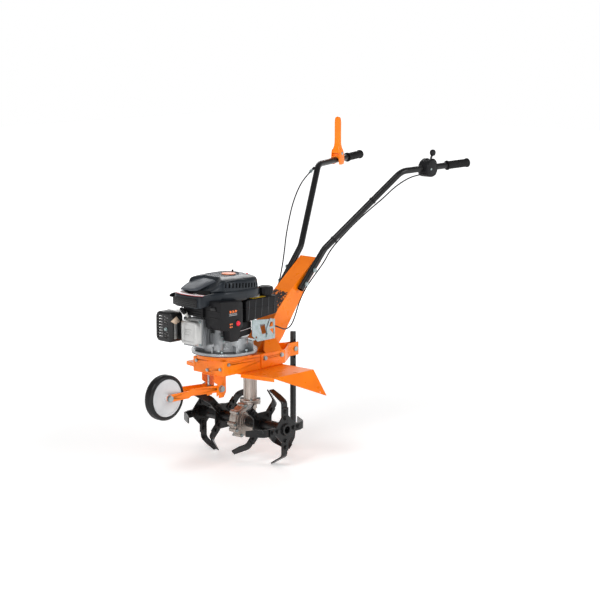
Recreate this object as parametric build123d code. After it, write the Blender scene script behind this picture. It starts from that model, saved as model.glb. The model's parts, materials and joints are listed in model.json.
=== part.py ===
from build123d import *
import math
import os

# Front-tine garden tiller. Millimetres, +Z up, the machine's nose towards -Y, the operator's
# left towards +X. The rotor's axle is at Y = 0 while modelling; the last step moves the origin
# to the middle of the whole machine's footprint, on the ground.

# ---------------------------------------------------------------- driving dimensions
TINE_RADIUS = 138.0          # rotor radius, also the axle's height above the ground
BLADE_WIDTH = 28.0
BLADE_THICK = 5.0
BLADE_BEND_RADIUS = 100.0    # radius at which a blade turns inwards
OUTER_BLADE_X = 208.5        # middle of the outer blades' thickness
INNER_BLADE_X = 94.5
OUTER_BLADE_REACH = 66.0     # length of the turned-in part
INNER_BLADE_REACH = 58.0
BLADE_TURN = 68.0            # degrees that a blade's end is turned
AXLE_RADIUS = 12.5
AXLE_HALF = 200.0
HUB_RADIUS = 21.0
HUB_START = 30.0
HUB_END = 224.0
HUB_PIN_X = 58.0             # the pin that locks a hub on the axle
BOLT_RADII = (42.0, 66.0)    # the two bolts that hold a blade, from the axle
PLATE_THICK = 5.0            # the cross plates welded on the hubs
PLATE_HALF = 46.0            # half the side of a cross plate's square web
PLATE_ARM = 80.0             # how far a cross plate's arms reach from the axle
BLADE_HOLE_RADIUS = 4.2
SOCKET_RADIUS = 13.5         # the open end of a hub, for an extension
SOCKET_START = 202.0

MODULE = 2.0                 # worm gear set
WHEEL_TEETH = 28
WORM_PITCH_RADIUS = 10.0
WORM_LENGTH = 36.0
WORM_SHAFT_RADIUS = 7.0
WORM_PHASE = -90.0           # degrees, puts a worm gap at the wheel's tooth
WHEEL_FACE = 15.0
FIT = 0.05                   # radial clearance of a shaft in its hole
GAP = 0.4                    # clearance between pieces that move past each other
BACKLASH = 0.35

GEARBOX_RADIUS = 56.0
GEARBOX_HALF = 23.0
NECK_RADIUS = 25.0
NECK_TOP = 204.0
NECK_FLANGE_RADIUS = 38.0
BEARING_RADIUS = 15.0
LOW_BEARING = (98.0, 108.0)
HIGH_BEARING = (312.0, 323.0)

CHASSIS_HALF = 78.0
CHASSIS_FRONT = -174.0
CHASSIS_REAR = 131.0
CHASSIS_BOTTOM = 338.0
CHASSIS_TOP = 393.0
SHEET = 4.0
THIN_SHEET = 3.0
BIG_BOLTS = ((32.0, 376.0), (119.0, 376.0))     # Y and Z on the chassis's sides
SMALL_BOLTS = ((-151.0, 378.0),)
NOSE_BOLTS = ((-60.0, 380.0), (-4.0, 352.0), (62.0, 362.0))

CRANK_Y = -93.0
ENGINE_PULLEY_RADIUS = 27.0
DRIVEN_PULLEY_RADIUS = 44.0
PULLEY_WIDTH = 16.0
PULLEY_Z = (350.0, 366.0)
BELT_THICK = 8.0
IDLER_RADIUS = 12.0
IDLER_SPOT = (57.5, -38.0)
TENSIONER_PIVOT = (58.0, -132.0)

ENGINE_PLATE_RADIUS = 100.0
ENGINE_PLATE_TOP = 409.0
GASKET = 2.0
FLANGE_RADIUS = 119.0
FLANGE_THICK = 10.0
SUMP_RADIUS = 85.0
SUMP_TOP = 466.0
CASE_RADIUS = 62.0
CASE_TOP = 566.0
WALL = 5.0
BORE_RADIUS = 32.0
CYLINDER_Z = 500.0
CYLINDER_HALF = 46.0
CYLINDER_FRONT = -232.0
HEAD_FRONT = -246.0
COVER_FRONT = -271.0
COVER_HALF = 44.0
CRANK_RADIUS = 12.5
FLYWHEEL_RADIUS = 78.0
FLYWHEEL_BOTTOM = 606.0
FLYWHEEL_TOP = 626.0
COWL_RADIUS = 104.0
COWL_NOSE = -280.0
COWL_NOSE_HALF = 71.0
COWL_BOTTOM = 607.0
COWL_NOSE_BOTTOM = 597.0
COWL_SHOULDER = 656.0
COWL_TOP = 692.0
SHELL = 3.0

TANK_X = (-22.0, 100.0)
TANK_Y = (-79.0, 82.0)
TANK_Z = (532.0, 603.0)
CAP_CENTRE = (68.0, 50.0)
CAP_RADIUS = 29.0
CAP_TOP = 640.0
FILTER_X = (52.0, 130.0)
FILTER_Y = (-238.0, -128.0)
FILTER_Z = (515.0, 619.0)
PRIMER = (-152.0, 535.0)     # Y and Z of the primer button
GUARD_X = (-134.0, -50.0)
GUARD_Y = (-302.0, -248.0)
GUARD_Z = (465.0, 571.0)
THROTTLE_PLATE_X = 93.0
GOVERNOR = (29.0, 468.0)     # Y and Z of the governor arm's pin

COLUMN_HALF = 40.0
HANDLE_RADIUS = 12.0
HANDLE_WALL = 1.5
HANDLE_LOW = (52.5, 252.0, 598.0)
HANDLE_KNEE = (60.0, 376.0, 738.0)
HANDLE_ELBOW = (212.0, 640.0, 1020.0)
HANDLE_END = (275.0, 959.0, 1035.0)
HANDLE_BEND = 60.0
GRIP_LENGTH = 104.0
GRIP_RADIUS = 15.5
GRIP_BEAD = 18.5

STAKE_Y = 268.0
STAKE_HALF = 8.0
STAKE_TOP = 432.0
STAKE_HOLE_PITCH = 32.0
BRACKET_Z = (342.0, 392.0)

WHEEL_Y = -389.0
WHEEL_Z = 287.0
TYRE_RADIUS = 81.0
RIM_RADIUS = 67.0
TYRE_HALF = 18.0
WHEEL_AXLE_RADIUS = 6.0
FORK_X = 24.0
FORK_THICK = 4.0
CHEEK_X = FORK_X + FORK_THICK + GAP
FORK_HEIGHT = 26.0
FORK_PIVOT = (-142.0, 283.0)

FENDER_OUTER = 224.0
FENDER_TIP = (285.0, 141.0, 251.0)
FENDER_REAR = 138.0
FENDER_FRONT_INNER = -102.0
FENDER_FRONT_OUTER = -70.0
FENDER_INNER = 46.0
FENDER_LIP = 14.0

LEVER_Y = 786.0
LEVER_LENGTH = 146.0
LEVER_WIDTH = 25.0
LEVER_PIVOT_HEIGHT = 25.0    # the clutch lever's pin above the handle's middle
LEVER_PIN_RADIUS = 4.0
LEVER_EAR_INNER = HANDLE_RADIUS + 5.0
THROTTLE_BOX_Y = 766.0
CABLE_RADIUS = 2.5

AXLE_Z = TINE_RADIUS
WORM_Y = MODULE * WHEEL_TEETH / 2 + WORM_PITCH_RADIUS
FLANGE_BOTTOM = ENGINE_PLATE_TOP + GASKET
FLANGE_TOP = FLANGE_BOTTOM + FLANGE_THICK
HANDLE_SPLAY = math.degrees(math.atan2(HANDLE_END[0] - HANDLE_ELBOW[0], HANDLE_END[1] - HANDLE_ELBOW[1]))

# ---------------------------------------------------------------- small helpers


def block(x, y, z):
    """A box between two limits on each axis."""
    size = [high - low for low, high in (x, y, z)]
    middle = [(high + low) / 2 for low, high in (x, y, z)]
    return Pos(*middle) * Box(*size)


def rod(start, end, radius):
    """A round bar between two points."""
    run = Vector(*end) - Vector(*start)
    seat = Plane(origin=start, z_dir=run)
    bar = Cylinder(radius, run.length, align=(Align.CENTER, Align.CENTER, Align.MIN))
    return seat * bar


def pipe(start, end, outer, inner):
    """A round tube between two points."""
    return rod(start, end, outer) - rod(start, end, inner)


def upright(x, y, z, radius):
    """A round bar along Z."""
    return rod((x, y, z[0]), (x, y, z[1]), radius)


def crosswise(x, y, z, radius):
    """A round bar along X."""
    return rod((x[0], y, z), (x[1], y, z), radius)


def side_plate(points, x):
    """A flat plate whose outline is given in Y and Z."""
    outline = Polyline(*[(0, y, z) for y, z in points], close=True)
    return Pos(x[0], 0, 0) * extrude(make_face(outline), amount=x[1] - x[0], dir=(1, 0, 0))


def flat_plate(points, z):
    """A flat plate whose outline is given in X and Y."""
    outline = Polyline(*[(x, y, 0) for x, y in points], close=True)
    return Pos(0, 0, z[0]) * extrude(make_face(outline), amount=z[1] - z[0], dir=(0, 0, 1))


def both_sides(piece):
    """The piece and its mirror image across the machine's middle."""
    return [piece, mirror(piece, Plane.YZ)]


def hex_bolt(start, end, radius, nut=True):
    """A hexagon bolt with a washer: the head is beyond start and the nut beyond end."""
    run = Vector(*end) - Vector(*start)
    head = Plane(origin=start, z_dir=run * -1)
    washer = Cylinder(radius * 2.1, 1.6, align=(Align.CENTER, Align.CENTER, Align.MIN))
    hexagon = extrude(RegularPolygon(radius * 1.9, 6), amount=radius * 1.2)
    bolt = rod(start, end, radius) + head * (washer + Pos(0, 0, 1.6) * hexagon)
    if nut:
        tail = Plane(origin=end, z_dir=run)
        bolt += tail * extrude(RegularPolygon(radius * 1.9, 6), amount=radius * 1.4)
    return bolt


def on_handle(side, distance, offset=(0, 0, 0)):
    """A point on the upper run of a handlebar, measured back from its end."""
    elbow = Vector(*HANDLE_ELBOW)
    end = Vector(*HANDLE_END)
    along = (end - elbow).normalized()
    spot = end - along * distance
    return (side * spot.X + offset[0], spot.Y + offset[1], spot.Z + offset[2])


def handle_distance(y):
    """How far back from the handlebar's end a given Y lies."""
    elbow = Vector(*HANDLE_ELBOW)
    end = Vector(*HANDLE_END)
    return (end.Y - y) * (end - elbow).length / (end.Y - elbow.Y)


# The routes of the two control cables, chosen along the handlebars and round the column.
CLUTCH_ROUTE = ((-198, 590, 1003), (-190, 532, 973), (-178, 482, 930), (-165, 440, 880),
                (-150, 405, 826), (-134, 372, 770), (-115, 343, 716), (-98, 313, 662),
                (-85, 283, 610), (-74, 252, 566), (-60, 226, 538), (-46, 206, 520))
THROTTLE_ROUTE = ((238, 738, 1004), (232, 690, 1001), (224, 644, 987), (206, 602, 960),
                  (182, 572, 923), (154, 540, 888), (121, 488, 837), (91, 439, 781),
                  (65, 404, 732), (46, 389, 684), (30, 352, 636), (24, 306, 588),
                  (30, 266, 540), (44, 232, 497), (60, 192, 468), (80, 140, 466),
                  (94.2, 101, 480), (94.2, 72.6, 491))

NODES = {}

# ---------------------------------------------------------------- rotor


def blade(middle_x, reach):
    """One tine, pointing up from the axle: a flat bar whose end is turned inwards."""
    turn = math.radians(BLADE_TURN)
    start = (0, middle_x, 30.0)
    corner = (0, middle_x, BLADE_BEND_RADIUS)
    tip_x = middle_x - reach * math.sin(turn)
    lift = TINE_RADIUS - BLADE_BEND_RADIUS - BLADE_THICK / 2 * math.sin(turn)
    tip = (0, tip_x, BLADE_BEND_RADIUS + lift)
    spine = FilletPolyline(*[(x, z) for _, x, z in (start, corner, tip)], radius=20.0)
    strip = trace(spine, BLADE_THICK)
    bar = extrude(Plane.XZ * strip, amount=BLADE_WIDTH / 2, both=True)
    trim_x = middle_x - reach * 0.45
    edge = BLADE_WIDTH / 2
    wedge = flat_plate(((trim_x, edge), (tip_x - 9, edge), (tip_x - 9, edge - 9)),
                       (BLADE_BEND_RADIUS - 10, TINE_RADIUS + 10))
    bar -= wedge
    for radius in BOLT_RADII:
        bar -= crosswise((middle_x - 6, middle_x + 6), 0, radius, BLADE_HOLE_RADIUS)
    floor = block((-400, 400), (-60, 60), (TINE_RADIUS, TINE_RADIUS + 40))
    return bar - floor


def around_axle(piece, degrees):
    """Turns a piece that points up from X = 0, Z = 0 and sets it on the axle."""
    return Pos(0, 0, AXLE_Z) * Rot(degrees, 0, 0) * piece


def tine_set(middle_x, reach, first, alternate=False):
    """Four blades a quarter turn apart; in an alternate set every other blade is turned outwards."""
    blades = []
    for turn in range(4):
        piece = blade(middle_x, reach)
        if alternate and turn % 2 == 0:
            piece = mirror(piece, Plane.YZ.offset(middle_x))
        blades.append(around_axle(piece, first + 90 * turn))
    return blades


def cross_plate(start, first):
    """The plate that carries four blades, welded round the hub's tube."""
    x = (start, start + PLATE_THICK)
    web = block(x, (-PLATE_HALF, PLATE_HALF), (-PLATE_HALF, PLATE_HALF))
    plate = around_axle(web, first + 45)
    arm = block(x, (-BLADE_WIDTH / 2, BLADE_WIDTH / 2), (0, PLATE_ARM))
    for turn in range(4):
        plate += around_axle(arm, first + 90 * turn)
    cut = (x[0] - 1, x[1] + 1)
    for turn in range(4):
        for radius in BOLT_RADII:
            plate -= around_axle(crosswise(cut, 0, radius, BLADE_HOLE_RADIUS), first + 90 * turn)
    return plate - crosswise(cut, 0, AXLE_Z, HUB_RADIUS)


def rotor_hub():
    """The left hub: a tube with a socket at its open end, and its two cross plates."""
    tube = crosswise((HUB_START, HUB_END), 0, AXLE_Z, HUB_RADIUS)
    tube -= crosswise((HUB_START - 1, HUB_END + 1), 0, AXLE_Z, AXLE_RADIUS + FIT)
    tube -= crosswise((SOCKET_START, HUB_END + 1), 0, AXLE_Z, SOCKET_RADIUS)
    tube -= upright(HUB_PIN_X, 0, (AXLE_Z - 40, AXLE_Z + 40), 4.1)
    return [tube, cross_plate(INNER_BLADE_X + BLADE_THICK / 2, 45), cross_plate(OUTER_BLADE_X + BLADE_THICK / 2, 0)]


def build_rotor():
    shaft = crosswise((-AXLE_HALF, AXLE_HALF), 0, AXLE_Z, AXLE_RADIUS)
    for side in (-1, 1):
        shaft -= upright(side * HUB_PIN_X, 0, (AXLE_Z - 40, AXLE_Z + 40), 4.1)
    NODES["output_shaft"] = shaft
    hub = rotor_hub()
    NODES["rotor_hubs"] = hub + [mirror(piece, Plane.YZ) for piece in hub]
    outer = tine_set(OUTER_BLADE_X, OUTER_BLADE_REACH, 0)
    inner = tine_set(INNER_BLADE_X, INNER_BLADE_REACH, 45, alternate=True)
    NODES["outer_tines"] = outer + [mirror(piece, Plane.YZ) for piece in outer]
    NODES["inner_tines"] = inner + [mirror(piece, Plane.YZ) for piece in inner]
    bolts = []
    for middle_x, first in ((OUTER_BLADE_X, 0), (INNER_BLADE_X, 45)):
        for turn in range(4):
            for radius in BOLT_RADII:
                head = (middle_x + BLADE_THICK / 2 + PLATE_THICK, 0, radius)
                tail = (middle_x - BLADE_THICK / 2, 0, radius)
                bolts += both_sides(around_axle(hex_bolt(head, tail, 4.0), first + 90 * turn))
    pin = hex_bolt((HUB_PIN_X, 0, AXLE_Z + HUB_RADIUS), (HUB_PIN_X, 0, AXLE_Z - HUB_RADIUS), 4.0)
    NODES["rotor_bolts"] = bolts + both_sides(pin)


# ---------------------------------------------------------------- worm drive

HELIX_ANGLE = math.degrees(math.atan(MODULE / (2 * WORM_PITCH_RADIUS)))


def worm_wheel():
    """A straight-blanked worm wheel: trapezoid teeth, twisted to the worm's lead angle."""
    pitch_radius = MODULE * WHEEL_TEETH / 2
    root = pitch_radius - 1.2 * MODULE
    tip = pitch_radius + 0.85 * MODULE
    half = math.pi * MODULE / 4 - BACKLASH / 2
    slope = math.tan(math.radians(20))
    low_half = half + (pitch_radius - root) * slope
    high_half = half - (tip - pitch_radius) * slope
    points = []
    for tooth in range(WHEEL_TEETH):
        middle = 2 * math.pi * tooth / WHEEL_TEETH
        for radius, width in ((root, -low_half), (tip, -high_half), (tip, high_half), (root, low_half)):
            angle = middle + width / radius
            points.append((radius * math.cos(angle), radius * math.sin(angle)))
    blank = make_face(Polyline(*points, close=True))
    twist = math.degrees(WHEEL_FACE * math.tan(math.radians(HELIX_ANGLE)) / pitch_radius)
    gear = extrude_linear_with_twist(blank, twist)
    seat = Plane(origin=(-WHEEL_FACE / 2, 0, AXLE_Z), x_dir=(0, 1, 0), z_dir=(1, 0, 0))
    gear = seat * Rot(0, 0, -twist / 2) * gear
    return gear - crosswise((-WHEEL_FACE, WHEEL_FACE), 0, AXLE_Z, AXLE_RADIUS)


def extrude_linear_with_twist(face, twist):
    return Solid.extrude_linear_with_rotation(
        section=face.face(), center=(0, 0, 0), normal=(0, 0, WHEEL_FACE), angle=twist)


def worm_thread():
    """One right-hand thread of trapezoid section, wound on the worm's core."""
    lead = math.pi * MODULE
    root = WORM_PITCH_RADIUS - 1.2 * MODULE
    tip = WORM_PITCH_RADIUS + 0.85 * MODULE
    slope = math.tan(math.radians(20))
    half = math.pi * MODULE / 4 - BACKLASH / 2
    low_half = half + (WORM_PITCH_RADIUS - root) * slope
    high_half = half - (tip - WORM_PITCH_RADIUS) * slope
    turns = int(WORM_LENGTH / lead)
    height = turns * lead
    start_z = AXLE_Z - height / 2
    sunk = 0.6
    path = Pos(0, WORM_Y, start_z) * Rot(0, 0, WORM_PHASE) * Helix(lead, height, root)
    at_start = path @ 0
    outward = Vector(at_start.X, at_start.Y - WORM_Y, 0).normalized()
    seat = Plane(origin=at_start, x_dir=outward, z_dir=path % 0)
    section = Polyline((-sunk, -low_half), (tip - root, -high_half), (tip - root, high_half),
                       (-sunk, low_half), close=True)
    return sweep(seat * make_face(section), path=path, is_frenet=True)


def build_worm_drive():
    NODES["worm_wheel"] = worm_wheel()
    root = WORM_PITCH_RADIUS - 1.2 * MODULE
    shaft = upright(0, WORM_Y, (LOW_BEARING[0], PULLEY_Z[1]), WORM_SHAFT_RADIUS)
    shaft += upright(0, WORM_Y, (AXLE_Z - WORM_LENGTH / 2, AXLE_Z + WORM_LENGTH / 2), root)
    shaft += worm_thread()
    NODES["worm_shaft"] = shaft
    bearings = []
    for low, high in (LOW_BEARING, HIGH_BEARING):
        ring = upright(0, WORM_Y, (low, high), BEARING_RADIUS)
        bearings.append(ring - upright(0, WORM_Y, (low, high), WORM_SHAFT_RADIUS + FIT))
    axle_ring = pipe((10, 0, AXLE_Z), (18, 0, AXLE_Z), 20.0, AXLE_RADIUS + FIT)
    seal = pipe((18, 0, AXLE_Z), (GEARBOX_HALF + 1, 0, AXLE_Z), 18.0, AXLE_RADIUS + FIT)
    NODES["bearings_and_seals"] = bearings + both_sides(axle_ring) + both_sides(seal)


def gearbox_form():
    """The round gear case with its neck, as one solid block before it is hollowed and split."""
    case = crosswise((-16, 16), 0, AXLE_Z, GEARBOX_RADIUS)
    case += crosswise((-19, 19), 0, AXLE_Z, GEARBOX_RADIUS - 7)
    case += crosswise((-21, 21), 0, AXLE_Z, 34)
    case += crosswise((-GEARBOX_HALF, GEARBOX_HALF), 0, AXLE_Z, 26)
    neck = upright(0, WORM_Y, (LOW_BEARING[0] - 6, NECK_TOP), NECK_RADIUS - 4)
    neck += upright(0, WORM_Y, (AXLE_Z + 40, NECK_TOP), NECK_RADIUS)
    neck += upright(0, WORM_Y, (NECK_TOP - 8, NECK_TOP), NECK_FLANGE_RADIUS)
    case += neck
    for spot in case_bolt_spots():
        case += crosswise((-16, 16), spot[0], spot[1], 8.0)
    return case


def case_bolt_spots():
    """Where the screws that hold the two case halves sit, in Y and Z."""
    radius = GEARBOX_RADIUS + 1
    angles = (-150, -115, -76, 95, 140, 185)
    return [(radius * math.cos(math.radians(a)), AXLE_Z + radius * math.sin(math.radians(a)))
            for a in angles]


def build_gearbox():
    hollow = crosswise((-9, 9), 0, AXLE_Z, MODULE * WHEEL_TEETH / 2 + 6)
    hollow += upright(0, WORM_Y, (LOW_BEARING[1], NECK_TOP), WORM_PITCH_RADIUS + 6)
    hollow += upright(0, WORM_Y, LOW_BEARING, BEARING_RADIUS)
    hollow += crosswise((-18, 18), 0, AXLE_Z, 20.0)
    hollow += crosswise((-GEARBOX_HALF - 2, GEARBOX_HALF + 2), 0, AXLE_Z, 18.0)
    for y, z in case_bolt_spots():
        hollow += crosswise((-17, 17), y, z, 3.1)
    for x, y in neck_bolt_spots():
        hollow += upright(x, y, (NECK_TOP - 10, NECK_TOP), 3.1)
    case = gearbox_form() - hollow
    left = case & block((0, 60), (-120, 120), (0, 260))
    right = case & block((-60, 0), (-120, 120), (0, 260))
    NODES["gearbox_left"] = left
    NODES["gearbox_right"] = right
    flange_low = (CHASSIS_BOTTOM - 9, CHASSIS_BOTTOM)
    tube = upright(0, WORM_Y, (NECK_TOP, CHASSIS_BOTTOM), NECK_RADIUS)
    tube += upright(0, WORM_Y, (NECK_TOP, NECK_TOP + 8), NECK_FLANGE_RADIUS)
    tube += upright(0, WORM_Y, (CHASSIS_BOTTOM - 24, CHASSIS_BOTTOM), NECK_RADIUS + 5)
    tube += block((-40, 40), (WORM_Y - 40, WORM_Y + 40), flange_low)
    for angle in range(0, 360, 90):
        rib = block((-2.5, 2.5), (0, NECK_RADIUS + 4), (NECK_TOP + 8, CHASSIS_BOTTOM))
        tube += Pos(0, WORM_Y, 0) * Rot(0, 0, angle) * rib
    tube -= upright(0, WORM_Y, (NECK_TOP, HIGH_BEARING[0]), NECK_RADIUS - 11)
    tube -= upright(0, WORM_Y, (HIGH_BEARING[0], HIGH_BEARING[1]), BEARING_RADIUS)
    tube -= upright(0, WORM_Y, (HIGH_BEARING[1], CHASSIS_BOTTOM), WORM_SHAFT_RADIUS + 3)
    for x, y in neck_bolt_spots():
        tube -= upright(x, y, (NECK_TOP, NECK_TOP + 8), 3.1)
    for x, y in top_bolt_spots():
        tube -= upright(x, y, (CHASSIS_BOTTOM - 30, CHASSIS_BOTTOM), 4.1)
    NODES["gear_tube"] = tube


def gearbox_bolts():
    """The screws of the gear case, its neck, and the flange under the base plate."""
    bolts = [hex_bolt((16, y, z), (-16, y, z), 3.0) for y, z in case_bolt_spots()]
    bolts += [hex_bolt((x, y, NECK_TOP + 8), (x, y, NECK_TOP - 8), 3.0) for x, y in neck_bolt_spots()]
    for x, y in top_bolt_spots():
        bolts.append(hex_bolt((x, y, CHASSIS_BOTTOM - 9), (x, y, CHASSIS_BOTTOM + SHEET), 4.0))
    return bolts


def neck_bolt_spots():
    reach = NECK_FLANGE_RADIUS - 6.0
    spots = [(reach * math.cos(math.radians(a)), WORM_Y + reach * math.sin(math.radians(a)))
             for a in (40, 140, 220, 320)]
    return spots


def top_bolt_spots():
    return [(x, WORM_Y + y) for x in (-32, 32) for y in (-32, 32)]


# ---------------------------------------------------------------- chassis


def build_chassis():
    inside = CHASSIS_HALF - SHEET
    shell = block((-CHASSIS_HALF, CHASSIS_HALF), (CHASSIS_FRONT, CHASSIS_REAR),
                  (CHASSIS_BOTTOM, CHASSIS_TOP))
    shell -= block((-inside, inside), (CHASSIS_FRONT + SHEET, CHASSIS_REAR - SHEET),
                   (CHASSIS_BOTTOM, CHASSIS_TOP - SHEET))
    shell -= upright(0, CRANK_Y, (CHASSIS_TOP - 10, CHASSIS_TOP + 1), 40.0)
    shell -= block((-28, 28), (70, 112), (CHASSIS_TOP - 10, CHASSIS_TOP + 1))
    for y, z in BIG_BOLTS + SMALL_BOLTS:
        shell -= crosswise((-CHASSIS_HALF - 1, CHASSIS_HALF + 1), y, z, 4.2)
    for x, z in NOSE_BOLTS:
        shell -= rod((x, CHASSIS_FRONT - 1, z), (x, CHASSIS_FRONT + 10, z), 3.2)
    for x, y in plate_bolt_spots():
        shell -= upright(x, y, (CHASSIS_TOP - 10, CHASSIS_TOP + 1), 4.2)
    shell -= upright(TENSIONER_PIVOT[0], TENSIONER_PIVOT[1], (CHASSIS_TOP - 10, CHASSIS_TOP + 1), 5.0 + FIT)
    NODES["chassis"] = shell

    base = block((-inside, inside), (CHASSIS_FRONT + SHEET, CHASSIS_REAR - SHEET),
                 (CHASSIS_BOTTOM, CHASSIS_BOTTOM + SHEET))
    base -= upright(0, WORM_Y, (CHASSIS_BOTTOM - 1, CHASSIS_BOTTOM + 10), WORM_SHAFT_RADIUS + 5)
    for x, y in top_bolt_spots():
        base -= upright(x, y, (CHASSIS_BOTTOM - 1, CHASSIS_BOTTOM + 10), 4.1)
    NODES["base_plate"] = base

    reach = CHASSIS_HALF + SHEET
    bolts = []
    for y, z in BIG_BOLTS:
        bolts += both_sides(hex_bolt((reach, y, z), (inside, y, z), 4.0))
    for y, z in SMALL_BOLTS:
        bolts += both_sides(hex_bolt((CHASSIS_HALF, y, z), (inside, y, z), 3.0))
    for x, z in NOSE_BOLTS:
        bolts.append(hex_bolt((x, CHASSIS_FRONT, z), (x, CHASSIS_FRONT + SHEET, z), 3.0))
    NODES["frame_bolts"] = bolts + handlebar_bolts() + fork_bolts() + gearbox_bolts()


def plate_bolt_spots():
    spots = []
    for angle in (30, 150, 270):
        turn = math.radians(angle)
        spots.append((88.0 * math.cos(turn) * 0.75, CRANK_Y + 88.0 * math.sin(turn) * 0.75))
    return spots


def fender():
    """The left mudguard: a flat plate, a front lip, and an outer flap that drops to the rear."""
    top = CHASSIS_BOTTOM
    low = top - THIN_SHEET
    plan = ((FENDER_INNER, FENDER_FRONT_INNER), (FENDER_OUTER, FENDER_FRONT_OUTER),
            (FENDER_OUTER, FENDER_REAR), (FENDER_INNER, FENDER_REAR - 8))
    guard = flat_plate(plan, (low, top))
    lip_front = FENDER_FRONT_INNER + 2
    run = (FENDER_FRONT_OUTER - FENDER_FRONT_INNER) / (FENDER_OUTER - FENDER_INNER)
    start_x = CHASSIS_HALF + 6
    start_y = FENDER_FRONT_INNER + run * (start_x - FENDER_INNER)
    lip = flat_plate(((start_x, start_y), (FENDER_OUTER, FENDER_FRONT_OUTER),
                      (FENDER_OUTER, FENDER_FRONT_OUTER + THIN_SHEET),
                      (start_x, start_y + THIN_SHEET)), (top - FENDER_LIP, top))
    corners = [Vector(FENDER_OUTER, FENDER_FRONT_OUTER, top),
               Vector(FENDER_OUTER, FENDER_REAR, top), Vector(*FENDER_TIP)]
    normal = (corners[1] - corners[0]).cross(corners[2] - corners[0]).normalized()
    if normal.Z > 0:
        normal = normal * -1
    face = make_face(Polyline(*corners, close=True))
    flap = extrude(face, amount=THIN_SHEET, dir=normal)
    hole = Vector(*FENDER_TIP) + Vector(-8, -22, 16)
    flap -= rod(hole - normal * 8, hole + normal * 8, 3.0)
    return guard + lip + flap


def build_fenders():
    NODES["fenders"] = both_sides(fender())


def build_column():
    """The box-section column, its sloping foot plates, and the cable's stop on its side."""
    front = ((353, 707), (214, 600), (142, 533), (98, 470), (62, 425), (28, CHASSIS_TOP))
    rear = ((127, CHASSIS_TOP), (142, 402), (169, 429), (219, 497), (253, 543), (288, 594), (379, 688))
    outline = Polyline(*[(0, y, z) for y, z in front + rear], close=True)
    face = make_face(outline)
    column = Pos(-COLUMN_HALF, 0, 0) * extrude(face, amount=2 * COLUMN_HALF, dir=(1, 0, 0))
    inner_face = offset(face, amount=-THIN_SHEET)
    inner_half = COLUMN_HALF - THIN_SHEET
    inner = Pos(-inner_half, 0, 0) * extrude(inner_face, amount=2 * inner_half, dir=(1, 0, 0))
    column -= inner
    column -= block((-28, 28), (70, 112), (CHASSIS_TOP - 1, CHASSIS_TOP + 5))
    outer_foot = ((COLUMN_HALF, 440), (CHASSIS_HALF, CHASSIS_TOP), (CHASSIS_HALF - 4, CHASSIS_TOP),
                  (COLUMN_HALF, 435))
    edge = Polyline(*[(x, 40, z) for x, z in outer_foot], close=True)
    foot = extrude(make_face(edge), amount=86, dir=(0, 1, 0))
    foot = foot & side_plate(((30, 380), (30, CHASSIS_TOP), (75, 440), (126, 440), (126, 380)), (0, 90))
    for piece in both_sides(foot):
        column += piece
    for y, z in HANDLE_BOLTS:
        column -= crosswise((-60, 60), y, z, 4.2)
    inward = (Vector(*CLUTCH_ROUTE[-1]) - Vector(*CLUTCH_ROUTE[-2])).normalized()
    column += rod(CLUTCH_ROUTE[-1], Vector(*CLUTCH_ROUTE[-1]) + inward * 16, 5.0)
    NODES["steering_column"] = column


def handle_bolt_spots():
    low = Vector(*HANDLE_LOW)
    knee = Vector(*HANDLE_KNEE)
    return [tuple(low + (knee - low) * share)[1:] for share in (0.14, 0.48)]


HANDLE_BOLTS = handle_bolt_spots()


def handlebar():
    """The left handlebar: one bent tube."""
    path = FilletPolyline(HANDLE_LOW, HANDLE_KNEE, HANDLE_ELBOW, HANDLE_END, radius=HANDLE_BEND)
    seat = Plane(origin=path @ 0, z_dir=path % 0)
    ring = seat * (Circle(HANDLE_RADIUS) - Circle(HANDLE_RADIUS - HANDLE_WALL))
    tube = sweep(ring, path=path)
    for y, z in HANDLE_BOLTS:
        tube -= crosswise((30, 90), y, z, 4.2)
    return tube


def build_handles():
    left, right = both_sides(handlebar())
    NODES["handlebar_left"] = left
    NODES["handlebar_right"] = right
    start = on_handle(1, GRIP_LENGTH)
    end = on_handle(1, 0)
    past = on_handle(1, -4)
    grip = rod(start, past, GRIP_RADIUS)
    grip += rod(start, on_handle(1, GRIP_LENGTH - 5), GRIP_BEAD)
    grip += rod(on_handle(1, 6), past, GRIP_BEAD - 1)
    grip -= rod(start, end, HANDLE_RADIUS + FIT)
    NODES["grips"] = both_sides(grip)


def handlebar_bolts():
    """The four bolts that hold the handlebars to the column."""
    bolts = []
    for y, z in HANDLE_BOLTS:
        share = (y - HANDLE_LOW[1]) / (HANDLE_KNEE[1] - HANDLE_LOW[1])
        x = HANDLE_LOW[0] + share * (HANDLE_KNEE[0] - HANDLE_LOW[0])
        head_x = x + HANDLE_RADIUS + 0.6
        bolts += both_sides(hex_bolt((head_x, y, z), (COLUMN_HALF - THIN_SHEET, y, z), 4.0, nut=False))
    return bolts


# ---------------------------------------------------------------- rear stake


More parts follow.
